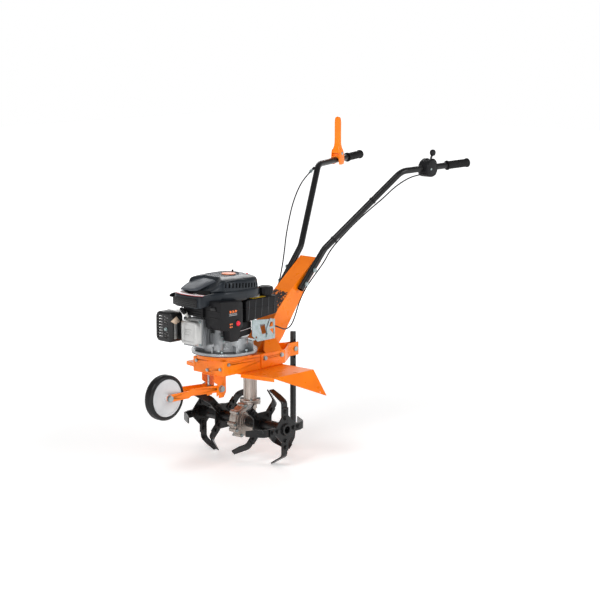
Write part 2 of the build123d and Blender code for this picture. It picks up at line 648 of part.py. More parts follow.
def build_stake():
    stake = block((-STAKE_HALF, STAKE_HALF), (STAKE_Y - STAKE_HALF, STAKE_Y + STAKE_HALF), (60, STAKE_TOP))
    foot = side_plate(((STAKE_Y - STAKE_HALF, 60), (STAKE_Y + STAKE_HALF, 60), (STAKE_Y + 2, 22),
                       (STAKE_Y - 16, 0), (STAKE_Y - 34, 0), (STAKE_Y - 16, 26)),
                      (-STAKE_HALF, STAKE_HALF))
    stake += foot
    pin_z = sum(BRACKET_Z) / 2
    for step in range(-4, 2):
        stake -= crosswise((-20, 20), STAKE_Y, pin_z + step * STAKE_HOLE_PITCH, 4.6)
    NODES["depth_stake"] = stake
    inner = STAKE_HALF + 0.3
    spine = FilletPolyline((CHASSIS_HALF + SHEET / 2, 14), (CHASSIS_HALF + SHEET / 2, 138),
                           (inner + SHEET / 2, 238), (inner + SHEET / 2, STAKE_Y + 18), radius=12.0)
    strap = Pos(0, 0, BRACKET_Z[0]) * extrude(trace(spine, SHEET), amount=BRACKET_Z[1] - BRACKET_Z[0])
    for y, z in BIG_BOLTS:
        strap -= crosswise((CHASSIS_HALF - 2, CHASSIS_HALF + 20), y, z, 4.2)
    strap -= crosswise((0, 40), STAKE_Y, pin_z, 4.6)
    NODES["stake_straps"] = both_sides(strap)
    reach = inner + SHEET
    pin = crosswise((-reach - 9, reach), STAKE_Y, pin_z, 4.55)
    pin += crosswise((reach, reach + 5), STAKE_Y, pin_z, 9.0)
    NODES["stake_pin"] = pin


# ---------------------------------------------------------------- front wheel


def fork_bolts():
    """The bolt that the wheel's fork swings on, and the fork's upright stop bolt."""
    y, z = FORK_PIVOT
    reach = CHEEK_X + FORK_THICK
    pivot = hex_bolt((reach, y, z), (-reach, y, z), 6.0)
    stop = hex_bolt((-8, -166, CHASSIS_BOTTOM - 42), (-8, -166, CHASSIS_BOTTOM), 4.0, nut=False)
    return [pivot, stop]


def build_wheel():
    plate_x = (CHEEK_X, CHEEK_X + FORK_THICK)
    top = CHASSIS_BOTTOM
    outline = ((-176, top), (-118, top), (-118, 268), (-130, 250), (-152, 250), (-152, 264),
               (-163, 257), (-163, 268), (-158, 300), (-176, 312))
    cheek = side_plate(outline, plate_x)
    pivot_y, pivot_z = FORK_PIVOT
    cheek -= crosswise((0, 60), pivot_y, pivot_z, 6.0 + FIT)
    bracket = cheek + mirror(cheek, Plane.YZ)
    bracket += block((-plate_x[1], plate_x[1]), (-176, -118), (top - 4, top))
    bracket -= upright(-8, -166, (top - 5, top + 1), 4.1)
    NODES["wheel_bracket"] = bracket
    half = FORK_HEIGHT / 2
    arm_x = (FORK_X, FORK_X + FORK_THICK)
    knee_y = -297.0
    outline = ((pivot_y + 10, pivot_z - half + 2), (pivot_y + 10, pivot_z + half - 2),
               (pivot_y, pivot_z + half), (knee_y + 12, 292 + half), (knee_y, 286 + half),
               (WHEEL_Y, WHEEL_Z + half), (WHEEL_Y - 11, WHEEL_Z + 7), (WHEEL_Y - 11, WHEEL_Z - 7),
               (WHEEL_Y, WHEEL_Z - half), (knee_y, 286 - half), (knee_y + 12, 292 - half),
               (pivot_y, pivot_z - half))
    arm = side_plate(outline, arm_x)
    fork = arm + mirror(arm, Plane.YZ)
    fork += block((-FORK_X, FORK_X), (-262, -186), (286, 290))
    fork -= crosswise((-50, 50), pivot_y, pivot_z, 6.0 + FIT)
    fork -= crosswise((-50, 50), WHEEL_Y, WHEEL_Z, WHEEL_AXLE_RADIUS)
    NODES["wheel_fork"] = fork
    out = FORK_X + FORK_THICK
    NODES["wheel_axle"] = hex_bolt((out, WHEEL_Y, WHEEL_Z), (-out, WHEEL_Y, WHEEL_Z), WHEEL_AXLE_RADIUS)
    tyre = crosswise((-TYRE_HALF, TYRE_HALF), WHEEL_Y, WHEEL_Z, TYRE_RADIUS)
    tyre = fillet(tyre.edges().filter_by(GeomType.CIRCLE), 7.0)
    tyre -= crosswise((-TYRE_HALF, TYRE_HALF), WHEEL_Y, WHEEL_Z, RIM_RADIUS)
    NODES["wheel_tyre"] = tyre
    rim = crosswise((-TYRE_HALF + 1, TYRE_HALF - 1), WHEEL_Y, WHEEL_Z, RIM_RADIUS)
    for side in (-1, 1):
        dish = crosswise((side * 5, side * (TYRE_HALF + 1)), WHEEL_Y, WHEEL_Z, RIM_RADIUS - 5)
        rim -= dish - crosswise((side * 4, side * 30), WHEEL_Y, WHEEL_Z, 16.0)
    rim += pipe((-22, WHEEL_Y, WHEEL_Z), (22, WHEEL_Y, WHEEL_Z), 13.0, WHEEL_AXLE_RADIUS)
    rim -= crosswise((-30, 30), WHEEL_Y, WHEEL_Z, WHEEL_AXLE_RADIUS + FIT)
    NODES["wheel_rim"] = rim


# ---------------------------------------------------------------- belt drive and clutch


def pulley(x, y, radius, bore):
    """A V-belt pulley: two flanges and a groove."""
    low, high = PULLEY_Z
    middle = (low + high) / 2
    rim = Polyline((0, low), (radius, low), (radius, low + 2.5), (radius - 9, middle - 2.5),
                   (radius - 9, middle + 2.5), (radius, high - 2.5), (radius, high), (0, high), close=True)
    face = make_face(Plane.XZ * rim)
    wheel = Pos(x, y, 0) * revolve(face, axis=Axis.Z)
    return wheel - upright(x, y, (low - 1, high + 1), bore)


def belt():
    """The V-belt's closed loop round both pulleys."""
    far = WORM_Y - CRANK_Y
    small = ENGINE_PULLEY_RADIUS - 8.6
    large = DRIVEN_PULLEY_RADIUS - 8.6
    lean = math.asin((large - small) / far)
    middle = sum(PULLEY_Z) / 2

    def loop(grow):
        a = small + grow
        b = large + grow
        right = (a * math.cos(lean), CRANK_Y - a * math.sin(lean))
        left = (b * math.cos(lean), WORM_Y - b * math.sin(lean))
        body = Pos(0, CRANK_Y) * Circle(a) + Pos(0, WORM_Y) * Circle(b)
        body += make_face(Polyline(right, left, (-left[0], left[1]), (-right[0], right[1]), close=True))
        return body

    outline = loop(BELT_THICK) - loop(0.0)
    thin = 2.2
    return Pos(0, 0, middle - thin) * extrude(outline, amount=2 * thin)


def build_belt_drive():
    NODES["driven_pulley"] = pulley(0, WORM_Y, DRIVEN_PULLEY_RADIUS, WORM_SHAFT_RADIUS)
    NODES["engine_pulley"] = pulley(0, CRANK_Y, ENGINE_PULLEY_RADIUS, CRANK_RADIUS)
    NODES["drive_belt"] = belt()
    px, py = TENSIONER_PIVOT
    ix, iy = IDLER_SPOT
    arm_z = (372.0, 376.0)
    arm = flat_plate(((px - 8, py), (px + 8, py), (ix + 7, iy), (ix - 7, iy)), arm_z)
    arm += upright(px, py, arm_z, 9.0)
    arm += upright(ix, iy, arm_z, 8.0)
    arm += upright(px, py, (arm_z[1], CHASSIS_TOP), 5.0)
    arm += upright(ix, iy, (PULLEY_Z[0], arm_z[0]), 4.0)
    NODES["tensioner_arm"] = arm
    idler = upright(ix, iy, (PULLEY_Z[0] + 2, PULLEY_Z[1]), IDLER_RADIUS)
    NODES["idler_pulley"] = idler - upright(ix, iy, PULLEY_Z, 4.0 + FIT)


# ---------------------------------------------------------------- engine


def build_engine_base():
    plate = upright(0, CRANK_Y, (CHASSIS_TOP, ENGINE_PLATE_TOP), ENGINE_PLATE_RADIUS)
    plate -= upright(0, CRANK_Y, (CHASSIS_TOP, ENGINE_PLATE_TOP - 5), ENGINE_PLATE_RADIUS - 30)
    plate -= upright(0, CRANK_Y, (CHASSIS_TOP, ENGINE_PLATE_TOP), 40.0)
    plate = plate & block((-200, 200), (-400, 26), (0, 900))
    for x, y in plate_bolt_spots():
        plate -= upright(x, y, (CHASSIS_TOP, ENGINE_PLATE_TOP), 4.2)
    NODES["engine_plate"] = plate
    gasket = upright(0, CRANK_Y, (ENGINE_PLATE_TOP, FLANGE_BOTTOM), FLANGE_RADIUS - 1)
    gasket -= upright(0, CRANK_Y, (ENGINE_PLATE_TOP, FLANGE_BOTTOM), 40.0)
    NODES["engine_gasket"] = gasket


def engine_block():
    """Crankcase with its mounting flange and the finned cylinder barrel."""
    axis = (0, CRANK_Y)
    case = upright(*axis, (FLANGE_BOTTOM, FLANGE_TOP), FLANGE_RADIUS)
    case += upright(*axis, (FLANGE_TOP, SUMP_TOP), SUMP_RADIUS)
    case += upright(*axis, (SUMP_TOP, CASE_TOP), CASE_RADIUS)
    low = CYLINDER_Z - CYLINDER_HALF
    high = CYLINDER_Z + CYLINDER_HALF
    core = block((-40, 40), (CYLINDER_FRONT, CRANK_Y), (low + 6, high - 6))
    case += core
    fin_y = CYLINDER_FRONT
    while fin_y < CYLINDER_FRONT + 66:
        case += block((-CYLINDER_HALF, CYLINDER_HALF), (fin_y, fin_y + 2.5), (low, high))
        fin_y += 7.0
    for angle in range(0, 360, 45):
        rib = block((SUMP_RADIUS - 8, FLANGE_RADIUS - 6), (-2, 2), (FLANGE_TOP, FLANGE_TOP + 22))
        case += Pos(0, CRANK_Y, 0) * Rot(0, 0, angle + 22.5) * rib
    hollow = upright(*axis, (FLANGE_BOTTOM + 6, SUMP_TOP - WALL), SUMP_RADIUS - WALL)
    hollow += upright(*axis, (SUMP_TOP - WALL, CASE_TOP - 8), CASE_RADIUS - WALL)
    hollow += rod((0, CYLINDER_FRONT, CYLINDER_Z), (0, CRANK_Y, CYLINDER_Z), BORE_RADIUS)
    hollow += upright(*axis, (FLANGE_BOTTOM, CASE_TOP), CRANK_RADIUS + FIT)
    return case - hollow


PLUG_SEAT = Vector(-30, -239, CYLINDER_Z + CYLINDER_HALF + 2)
PLUG_AXIS = Vector(0, -1, 1).normalized()


def build_engine():
    NODES["engine_block"] = engine_block()
    low = CYLINDER_Z - CYLINDER_HALF - 6
    high = CYLINDER_Z + CYLINDER_HALF + 4
    head = block((-50, 50), (HEAD_FRONT, CYLINDER_FRONT), (low, high))
    head -= rod((0, CYLINDER_FRONT - 4, CYLINDER_Z), (0, CYLINDER_FRONT, CYLINDER_Z), BORE_RADIUS)
    boss = rod(PLUG_SEAT - PLUG_AXIS * 8, PLUG_SEAT + PLUG_AXIS * 14, 9.0)
    head += boss & block((-50, 50), (HEAD_FRONT, CYLINDER_FRONT), (low, high + 8))
    NODES["cylinder_head"] = head - rod(PLUG_SEAT - PLUG_AXIS, PLUG_SEAT + PLUG_AXIS * 30, 5.0)
    cover = block((-COVER_HALF, COVER_HALF), (COVER_FRONT, HEAD_FRONT), (low + 6, high - 4))
    cover = fillet(cover.edges().filter_by(Axis.Y), 12.0)
    cover = fillet(cover.faces().sort_by(Axis.Y)[0].edges(), 6.0)
    inside = block((-COVER_HALF + 4, COVER_HALF - 4), (COVER_FRONT + 4, HEAD_FRONT), (low + 10, high - 8))
    NODES["valve_cover"] = cover - inside
    piston = rod((0, CYLINDER_FRONT + 3, CYLINDER_Z), (0, CYLINDER_FRONT + 33, CYLINDER_Z), BORE_RADIUS - 0.1)
    piston -= rod((0, CYLINDER_FRONT + 9, CYLINDER_Z), (0, CYLINDER_FRONT + 33, CYLINDER_Z), BORE_RADIUS - 6)
    NODES["piston"] = piston
    crank = upright(0, CRANK_Y, (PULLEY_Z[0], FLYWHEEL_TOP), CRANK_RADIUS)
    for low_z, high_z in ((CYLINDER_Z - 26, CYLINDER_Z - 14), (CYLINDER_Z + 14, CYLINDER_Z + 26)):
        crank += upright(0, CRANK_Y, (low_z, high_z), 38.0)
    crank -= upright(0, CRANK_Y, (CYLINDER_Z - 14, CYLINDER_Z + 14), 50.0)
    crank += upright(0, CRANK_Y - 22, (CYLINDER_Z - 14, CYLINDER_Z + 14), 10.0)
    NODES["crankshaft"] = crank
    fly = upright(0, CRANK_Y, (FLYWHEEL_BOTTOM, FLYWHEEL_TOP), FLYWHEEL_RADIUS)
    fly -= upright(0, CRANK_Y, (FLYWHEEL_BOTTOM + 6, FLYWHEEL_TOP), FLYWHEEL_RADIUS - 12) - \
        upright(0, CRANK_Y, (FLYWHEEL_BOTTOM, FLYWHEEL_TOP), 24.0)
    for angle in range(0, 360, 30):
        vane = block((40, FLYWHEEL_RADIUS - 1), (-1.5, 1.5), (FLYWHEEL_BOTTOM + 4, FLYWHEEL_TOP + 14))
        fly += Pos(0, CRANK_Y, 0) * Rot(0, 0, angle) * vane
    NODES["flywheel"] = fly - upright(0, CRANK_Y, (FLYWHEEL_BOTTOM - 1, FLYWHEEL_TOP + 20), CRANK_RADIUS)


def cowl_form(inset):
    """The cowl's solid outline, drawn in by a wall thickness when it is hollowed."""
    radius = COWL_RADIUS - inset
    half = COWL_NOSE_HALF - inset
    form = upright(0, CRANK_Y, (COWL_BOTTOM - inset, COWL_SHOULDER), radius)
    dome = Cone(radius, radius - 42, COWL_TOP - COWL_SHOULDER - inset,
                align=(Align.CENTER, Align.CENTER, Align.MIN))
    form += Pos(0, CRANK_Y, COWL_SHOULDER) * dome
    nose = ((COWL_NOSE + inset, COWL_NOSE_BOTTOM - inset), (COWL_NOSE + inset, 632 - inset),
            (-238, COWL_SHOULDER - inset), (CRANK_Y, COWL_SHOULDER + 12 - inset),
            (CRANK_Y, COWL_BOTTOM - inset), (-190, COWL_BOTTOM - inset),
            (-235, COWL_NOSE_BOTTOM - inset))
    return form + side_plate(nose, (-half, half))


def filter_form(grow):
    x, y, z = FILTER_X, FILTER_Y, FILTER_Z
    body = block((x[0] - grow, x[1] + grow), (y[0] - grow, y[1] + grow), (z[0] - grow, z[1] + grow))
    return body


def build_cowl():
    cowl = cowl_form(0) - cowl_form(SHELL)
    cowl -= filter_form(GAP)
    for slot in range(10):
        y = -168 + slot * 14
        cowl -= block((60, 140), (y, y + 6.5), (630, 650))
    for ring_radius in (24, 38, 52):
        for angle in range(0, 360, 15 if ring_radius > 30 else 30):
            turn = math.radians(angle)
            x = ring_radius * math.cos(turn)
            y = CRANK_Y + ring_radius * math.sin(turn)
            cowl -= upright(x, y, (COWL_TOP - 12, COWL_TOP + 5), 2.6)
    cowl -= crosswise((-COWL_NOSE_HALF - 5, -COWL_NOSE_HALF + 8), -240, 622, 3.0)
    NODES["engine_cowl"] = cowl
    rope = crosswise((-COWL_NOSE_HALF - 22, -COWL_NOSE_HALF + 30), -240, 622, 2.2)
    knob = block((-COWL_NOSE_HALF - 38, -COWL_NOSE_HALF - 22), (-262, -218), (613, 631))
    NODES["starter_handle"] = fillet(knob.edges(), 5.0) + rope


def build_tank():
    tank = block(TANK_X, TANK_Y, TANK_Z)
    tank = fillet(tank.edges().filter_by(Axis.Z).filter_by_position(Axis.Y, 60, 100), 12.0)
    tank -= upright(0, CRANK_Y, (500, 700), CASE_RADIUS + 8)
    inner = block((TANK_X[0] + SHELL, TANK_X[1] - SHELL), (TANK_Y[0] + SHELL, TANK_Y[1] - SHELL),
                  (TANK_Z[0] + SHELL, TANK_Z[1] - SHELL))
    inner = fillet(inner.edges().filter_by(Axis.Z).filter_by_position(Axis.Y, 60, 100), 9.0)
    inner -= upright(0, CRANK_Y, (500, 700), CASE_RADIUS + 8 + SHELL)
    cx, cy = CAP_CENTRE
    tank += upright(cx, cy, (TANK_Z[1], TANK_Z[1] + 20), 20.0)
    tank -= inner
    tank -= upright(cx, cy, (TANK_Z[1] - 5, TANK_Z[1] + 20), 17.0)
    NODES["fuel_tank"] = tank
    cap = upright(cx, cy, (TANK_Z[1] + 8, CAP_TOP), CAP_RADIUS)
    cap -= upright(cx, cy, (TANK_Z[1] + 8, TANK_Z[1] + 20 + GAP), 20.0 + GAP)
    for angle in range(0, 360, 20):
        turn = math.radians(angle)
        cap -= upright(cx + (CAP_RADIUS + 1) * math.cos(turn), cy + (CAP_RADIUS + 1) * math.sin(turn),
                       (TANK_Z[1], CAP_TOP), 2.6)
    NODES["fuel_cap"] = cap


def build_air_filter():
    box = filter_form(0)
    box -= upright(0, CRANK_Y, (598, 700), FLYWHEEL_RADIUS + 6)
    inner = block((FILTER_X[0] + SHELL, FILTER_X[1] - SHELL), (FILTER_Y[0] + SHELL, FILTER_Y[1] - SHELL),
                  (FILTER_Z[0] + SHELL, FILTER_Z[1] - SHELL))
    inner -= upright(0, CRANK_Y, (590, 700), FLYWHEEL_RADIUS + 6 + SHELL)
    lower = side_plate(((-196, 515), (-140, 515), (-146, 474), (-176, 474)), (98, 126))
    box += lower
    box -= inner
    y, z = PRIMER
    box -= crosswise((116, 140), y, z, 10.4)
    box += pipe((112, y, z), (FILTER_X[1], y, z), 13.0, 10.4)
    NODES["air_filter_box"] = box
    button = crosswise((118, FILTER_X[1] + 5), y, z, 10.0)
    NODES["primer_button"] = fillet(button.edges().filter_by(GeomType.CIRCLE).sort_by(Axis.X)[-1], 4.0)
    carb = block((58, 96), (-212, -182), (462, 500))
    carb += upright(77, -197, (440, 462), 17.0)
    carb += rod((77, -182, 482), (77, -160, 482), 14.0)
    carb += upright(77, -197, (500, 515), 15.0)
    intake = rod((77, -172, 482), (77, -160, 482), 18.0)
    carb += intake
    carb += block((51, 60), (-208, -186), (466, 496))
    manifold = block((46, 51), (-212, -178), (462, 506))
    NODES["carburettor"] = [carb, manifold]


def build_exhaust():
    x, y, z = GUARD_X, GUARD_Y, GUARD_Z
    skin = 2.0
    guard = block(x, y, z)
    guard = fillet(guard.edges().filter_by(Axis.Y), 16.0)
    inside = block((x[0] + skin, x[1] - skin), (y[0] + skin, y[1]), (z[0] + skin, z[1] - skin))
    guard -= fillet(inside.edges().filter_by(Axis.Y), 14.0)
    for row in range(7):
        low = z[0] + 16 + row * 11.5
        guard -= block((x[0] - 1, x[0] + 34), (y[0] - 1, y[0] + 22), (low, low + 5.5))
        guard -= block((x[0] + 42, x[1] - 12), (y[0] - 1, y[0] + 6), (low, low + 5.5))
    muffler = block((x[0] + 9, x[1] - 7), (y[0] + 9, y[1] - 6), (z[0] + 10, z[1] - 10))
    muffler = fillet(muffler.edges().filter_by(Axis.Z), 12.0)
    hollow = block((x[0] + 11, x[1] - 9), (y[0] + 11, y[1] - 8), (z[0] + 12, z[1] - 12))
    muffler -= fillet(hollow.edges().filter_by(Axis.Z), 10.0)
    pipe_end = rod((-62, -264, 490), (-62, -240, 490), 9.0) & block((-80, -40), (-258, -236), (470, 510))
    elbow = block((-71, -50), (-246, -237), (481, 499))
    muffler += pipe_end
    muffler += elbow
    NODES["muffler"] = muffler
    shield = block((-120, -42), (-286, -236), (575, 576.5))
    shield += block((-120, -118.5), (-286, -236), (573, 575))
    NODES["muffler_guard"] = [guard, shield]


def build_ignition():
    plug = rod(PLUG_SEAT, PLUG_SEAT + PLUG_AXIS * 38, 4.9)
    plug += rod(PLUG_SEAT + PLUG_AXIS * 20, PLUG_SEAT + PLUG_AXIS * 27, 8.0)
    NODES["spark_plug"] = plug
    cap = rod(PLUG_SEAT + PLUG_AXIS * 28, PLUG_SEAT + PLUG_AXIS * 52, 8.5)
    NODES["plug_cap"] = cap - rod(PLUG_SEAT + PLUG_AXIS * 28, PLUG_SEAT + PLUG_AXIS * 38, 5.0)


def build_throttle_plate():
    outline = ((-47, 528), (71, 518), (71, 446), (-20, 446), (-47, 470))
    x = (THROTTLE_PLATE_X, THROTTLE_PLATE_X + 2.5)
    plate = side_plate(outline, x)
    plate -= side_plate(((-8, 506), (18, 506), (26, 470), (4, 470)), (x[0] - 1, x[1] + 1))
    plate -= side_plate(((34, 512), (62, 508), (62, 492), (38, 492)), (x[0] - 1, x[1] + 1))
    plate -= side_plate(((42, 484), (64, 484), (64, 462)), (x[0] - 1, x[1] + 1))
    plate -= crosswise((x[0] - 1, x[1] + 1), -26, 462, 4.0)
    tab = block((40, x[0]), (-46, -24), (452, 455)) - upright(0, CRANK_Y, (440, 470), SUMP_RADIUS)
    plate += tab
    plate -= crosswise((x[0] - 3, x[1] + 3), GOVERNOR[0], GOVERNOR[1], 3.05)
    NODES["throttle_plate"] = plate
    lever = side_plate(((24, 456), (32, 456), (34, 486), (50, 522), (44, 524), (26, 488)),
                       (x[1] + 0.6, x[1] + 2.6))
    lever += crosswise((x[0] - 2, x[1] + 5), GOVERNOR[0], GOVERNOR[1], 3.0)
    NODES["throttle_arm"] = lever


# ---------------------------------------------------------------- hand controls


def build_clutch_lever():
    """The lever over the right grip, lying along the handle; built at the origin, then set in place."""
    back = handle_distance(LEVER_Y)
    place = Pos(*on_handle(-1, back)) * Rot(0, 0, HANDLE_SPLAY)
    pin_z = LEVER_PIVOT_HEIGHT
    inner = LEVER_EAR_INNER
    outer = inner + THIN_SHEET
    ear = ((-20, -18), (16, -18), (20, 0), (14, pin_z + 10), (8, pin_z + 22), (-8, pin_z + 22), (-18, pin_z),
           (-22, 6))
    ears = side_plate(ear, (-outer, -inner)) + side_plate(ear, (inner, outer))
    half = LEVER_WIDTH / 2
    top = pin_z + LEVER_LENGTH
    channel = block((-half, half), (-8, 8), (pin_z + 12, top))
    channel = fillet(channel.edges().filter_by(Axis.Z), 5.0)
    channel -= block((3 - half, half - 3), (-4, 12), (pin_z + 8, top - 12))
    web = block((-outer, outer), (-8, -5), (pin_z + 10, pin_z + 22))
    lever = ears + channel + web - crosswise((-40, 40), 0, pin_z, LEVER_PIN_RADIUS + FIT)
    NODES["clutch_lever"] = place * lever
    saddle = block((GAP - inner, inner - GAP), (-16, 16), (4, pin_z - 11))
    saddle += crosswise((GAP - inner, inner - GAP), 0, pin_z, 2 * LEVER_PIN_RADIUS)
    saddle += block((GAP - inner, inner - GAP), (-8, 8), (4, pin_z))
    saddle = place * (saddle + crosswise((-outer - 2, outer + 2), 0, pin_z, LEVER_PIN_RADIUS))
    NODES["clutch_saddle"] = saddle - rod(on_handle(-1, back + 40), on_handle(-1, back - 40), HANDLE_RADIUS + FIT)


def build_throttle():
    back = handle_distance(THROTTLE_BOX_Y)
    x, y, z = on_handle(1, back)
    box = block((x - 25, x + 25), (y - 27, y + 27), (z - 32, z + 30))
    box = fillet(box.edges().filter_by(Axis.X), 14.0)
    box -= rod(on_handle(1, back + 60), on_handle(1, back - 60), HANDLE_RADIUS + FIT)
    slot = block((x - 6, x + 10), (y - 14, y + 26), (z + 13.6, z + 40))
    box -= slot
    pivot = (y + 8, z + 21)
    box -= crosswise((x - 14, x + 18), pivot[0], pivot[1], 3.0 + FIT)
    NODES["throttle_box"] = box
    lever = crosswise((x - 12, x + 16), pivot[0], pivot[1], 3.0)
    lever += crosswise((x - 1.5, x + 5.5), pivot[0], pivot[1], 6.5)
    lever += side_plate(((pivot[0] - 4, pivot[1]), (pivot[0] + 4, pivot[1]), (pivot[0] + 10, pivot[1] + 34),
                         (pivot[0] + 3, pivot[1] + 34)), (x, x + 4))
    lever += crosswise((x - 5, x + 9), pivot[0] + 8, pivot[1] + 42, 12.5)
    NODES["throttle_lever"] = lever


def build_cables():
    for name, route in (("clutch_cable", CLUTCH_ROUTE), ("throttle_cable", THROTTLE_ROUTE)):
        radii = arc_radii(route)
        path = FilletPolyline(*route, radius=radii)
        seat = Plane(origin=path @ 0, z_dir=path % 0)
        cable = sweep(seat * Circle(CABLE_RADIUS), path=path)
        NODES[name] = cable
        length = path.length
        print(name, "length", round(length, 1), "radii", [round(radius, 1) for radius in radii])
        print("  volume ratio", round(cable.volume / (math.pi * CABLE_RADIUS ** 2 * length), 4))


def arc_radii(route):
    """At each corner of a cable's route, the largest arc that its two runs allow."""
    points = [Vector(*point) for point in route]
    radii = []
    for before, corner, after in zip(points, points[1:], points[2:]):
        first = corner - before
        second = after - corner
        turn = math.radians(first.get_angle(second))
        radii.append(0.45 * min(first.length, second.length) / math.tan(turn / 2))
    return radii


def build_clips():
    """Straps round the left handlebar, and the clutch cable's end stop beside the right one."""
    knee = Vector(*HANDLE_KNEE)
    elbow = Vector(*HANDLE_ELBOW)
    clips = []
    for share in (0.12, 0.62):
        middle = knee + (elbow - knee) * share
        along = (elbow - knee).normalized()
        ring = pipe(middle - along * 4, middle + along * 4, HANDLE_RADIUS + 1.6, HANDLE_RADIUS + FIT)
        clips.append(ring)
    outward = (Vector(*CLUTCH_ROUTE[0]) - Vector(*CLUTCH_ROUTE[1])).normalized()
    clips.append(rod(CLUTCH_ROUTE[0], Vector(*CLUTCH_ROUTE[0]) + outward * 14, 5.0))
    NODES["cable_holders"] = clips


# ---------------------------------------------------------------- assembly

build_rotor()
build_worm_drive()
build_gearbox()
build_chassis()
build_fenders()
build_column()
build_handles()
build_stake()
build_wheel()
build_belt_drive()
build_engine_base()
build_engine()
build_cowl()
build_tank()
build_air_filter()
build_exhaust()
build_ignition()
build_throttle_plate()
build_clutch_lever()
build_throttle()
build_cables()
build_clips()

along_grip = (Vector(*HANDLE_END) - Vector(*HANDLE_ELBOW)).normalized()
grip_tip = HANDLE_END[1] + 4 * along_grip.Y + (GRIP_BEAD - 1) * math.sqrt(1 - along_grip.Y ** 2)
middle_y = (WHEEL_Y - TYRE_RADIUS + grip_tip) / 2
print("middle_y", round(middle_y, 3))

os.makedirs("parts", exist_ok=True)
for name, shape in NODES.items():
    solids = []
    for piece in (shape if isinstance(shape, list) else [shape]):
        solids += list(piece.solids())
    placed = [Pos(0, -middle_y, 0) * solid for solid in solids]
    export_step(placed[0] if len(placed) == 1 else Compound(children=placed), f"parts/{name}.step")
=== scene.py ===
import json
import math
from math import cos, radians, sin

import bmesh
import bpy
from mathutils import Matrix, Vector


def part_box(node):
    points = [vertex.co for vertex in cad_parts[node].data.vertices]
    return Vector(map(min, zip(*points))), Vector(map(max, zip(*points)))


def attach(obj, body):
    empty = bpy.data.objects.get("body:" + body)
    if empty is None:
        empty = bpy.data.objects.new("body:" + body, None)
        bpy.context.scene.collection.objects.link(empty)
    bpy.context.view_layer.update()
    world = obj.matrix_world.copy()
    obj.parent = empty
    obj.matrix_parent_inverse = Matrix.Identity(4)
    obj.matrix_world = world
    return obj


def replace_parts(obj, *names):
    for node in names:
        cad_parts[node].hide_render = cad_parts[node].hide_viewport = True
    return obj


# Looks for the petrol garden tiller. The frame is in metres. The shapes below are in millimetres,
# measured from the point of the floor under the middle of the rotor's axle; at() turns them into
# places in the frame.

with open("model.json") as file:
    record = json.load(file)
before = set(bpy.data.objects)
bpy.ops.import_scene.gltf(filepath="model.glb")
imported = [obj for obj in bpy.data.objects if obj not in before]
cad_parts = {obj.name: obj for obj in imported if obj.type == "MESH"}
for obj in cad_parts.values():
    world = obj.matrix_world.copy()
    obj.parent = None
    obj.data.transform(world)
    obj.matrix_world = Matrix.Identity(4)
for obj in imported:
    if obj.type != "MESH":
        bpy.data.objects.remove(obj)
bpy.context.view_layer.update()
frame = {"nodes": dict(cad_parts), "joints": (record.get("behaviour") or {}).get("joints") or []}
NODES = frame["nodes"]
JOINTS = {joint["name"]: joint for joint in frame["joints"]}
MM = 0.001
AXLE_Y = JOINTS["rotor_spin"]["pos_m"][1]
X, Y, Z = Vector((1, 0, 0)), Vector((0, 1, 0)), Vector((0, 0, 1))
FRONT, SIDE, TOP = (X, Z), (Y, Z), (X, Y)  # the planes that outlines are drawn in


def at(x, y, z):
    """A point of the frame, from millimetres measured from under the rotor's axle."""
    return Vector((x * MM, AXLE_Y + y * MM, z * MM))


def box_of(node):
    """The low corner, high corner and middle of a CAD node's box, and its size in mm."""
    low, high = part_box(node)
    return low, high, (low + high) / 2, (high - low) / MM


def placed(name, data):
    """A new object in the scene."""
    made = bpy.data.objects.new(name, data)
    bpy.context.scene.collection.objects.link(made)
    return made


# ---------------- camera, light and floor


LENS = 105.56
AZIMUTH, ELEVATION, DISTANCE = radians(42.978), radians(9.767), 6.5
TARGET = at(70.6, 230.7, 563.3)


def aimed(item, spot, direction):
    """Puts a camera or a lamp at a spot and turns it to look in a direction."""
    item.location = spot
    item.rotation_mode = "QUATERNION"
    item.rotation_quaternion = direction.to_track_quat("-Z", "Y")


def make_camera():
    data = bpy.data.cameras.new("camera")
    camera = placed("camera", data)
    data.sensor_width = 36.0
    data.lens = LENS
    data.clip_end = 60.0
    back = Vector((sin(AZIMUTH) * cos(ELEVATION), -cos(AZIMUTH) * cos(ELEVATION), sin(ELEVATION)))
    aimed(camera, TARGET + back * DISTANCE, -back)
    bpy.context.scene.camera = camera


def area_light(name, spot, size, power):
    """A rectangular lamp that shines at the middle of the machine."""
    data = bpy.data.lights.new(name, "AREA")
    data.shape = "RECTANGLE"
    data.size, data.size_y = size
    data.energy = power
    spot = Vector(spot)
    aimed(placed(name, data), spot, Vector((0.0, 0.0, 0.55)) - spot)


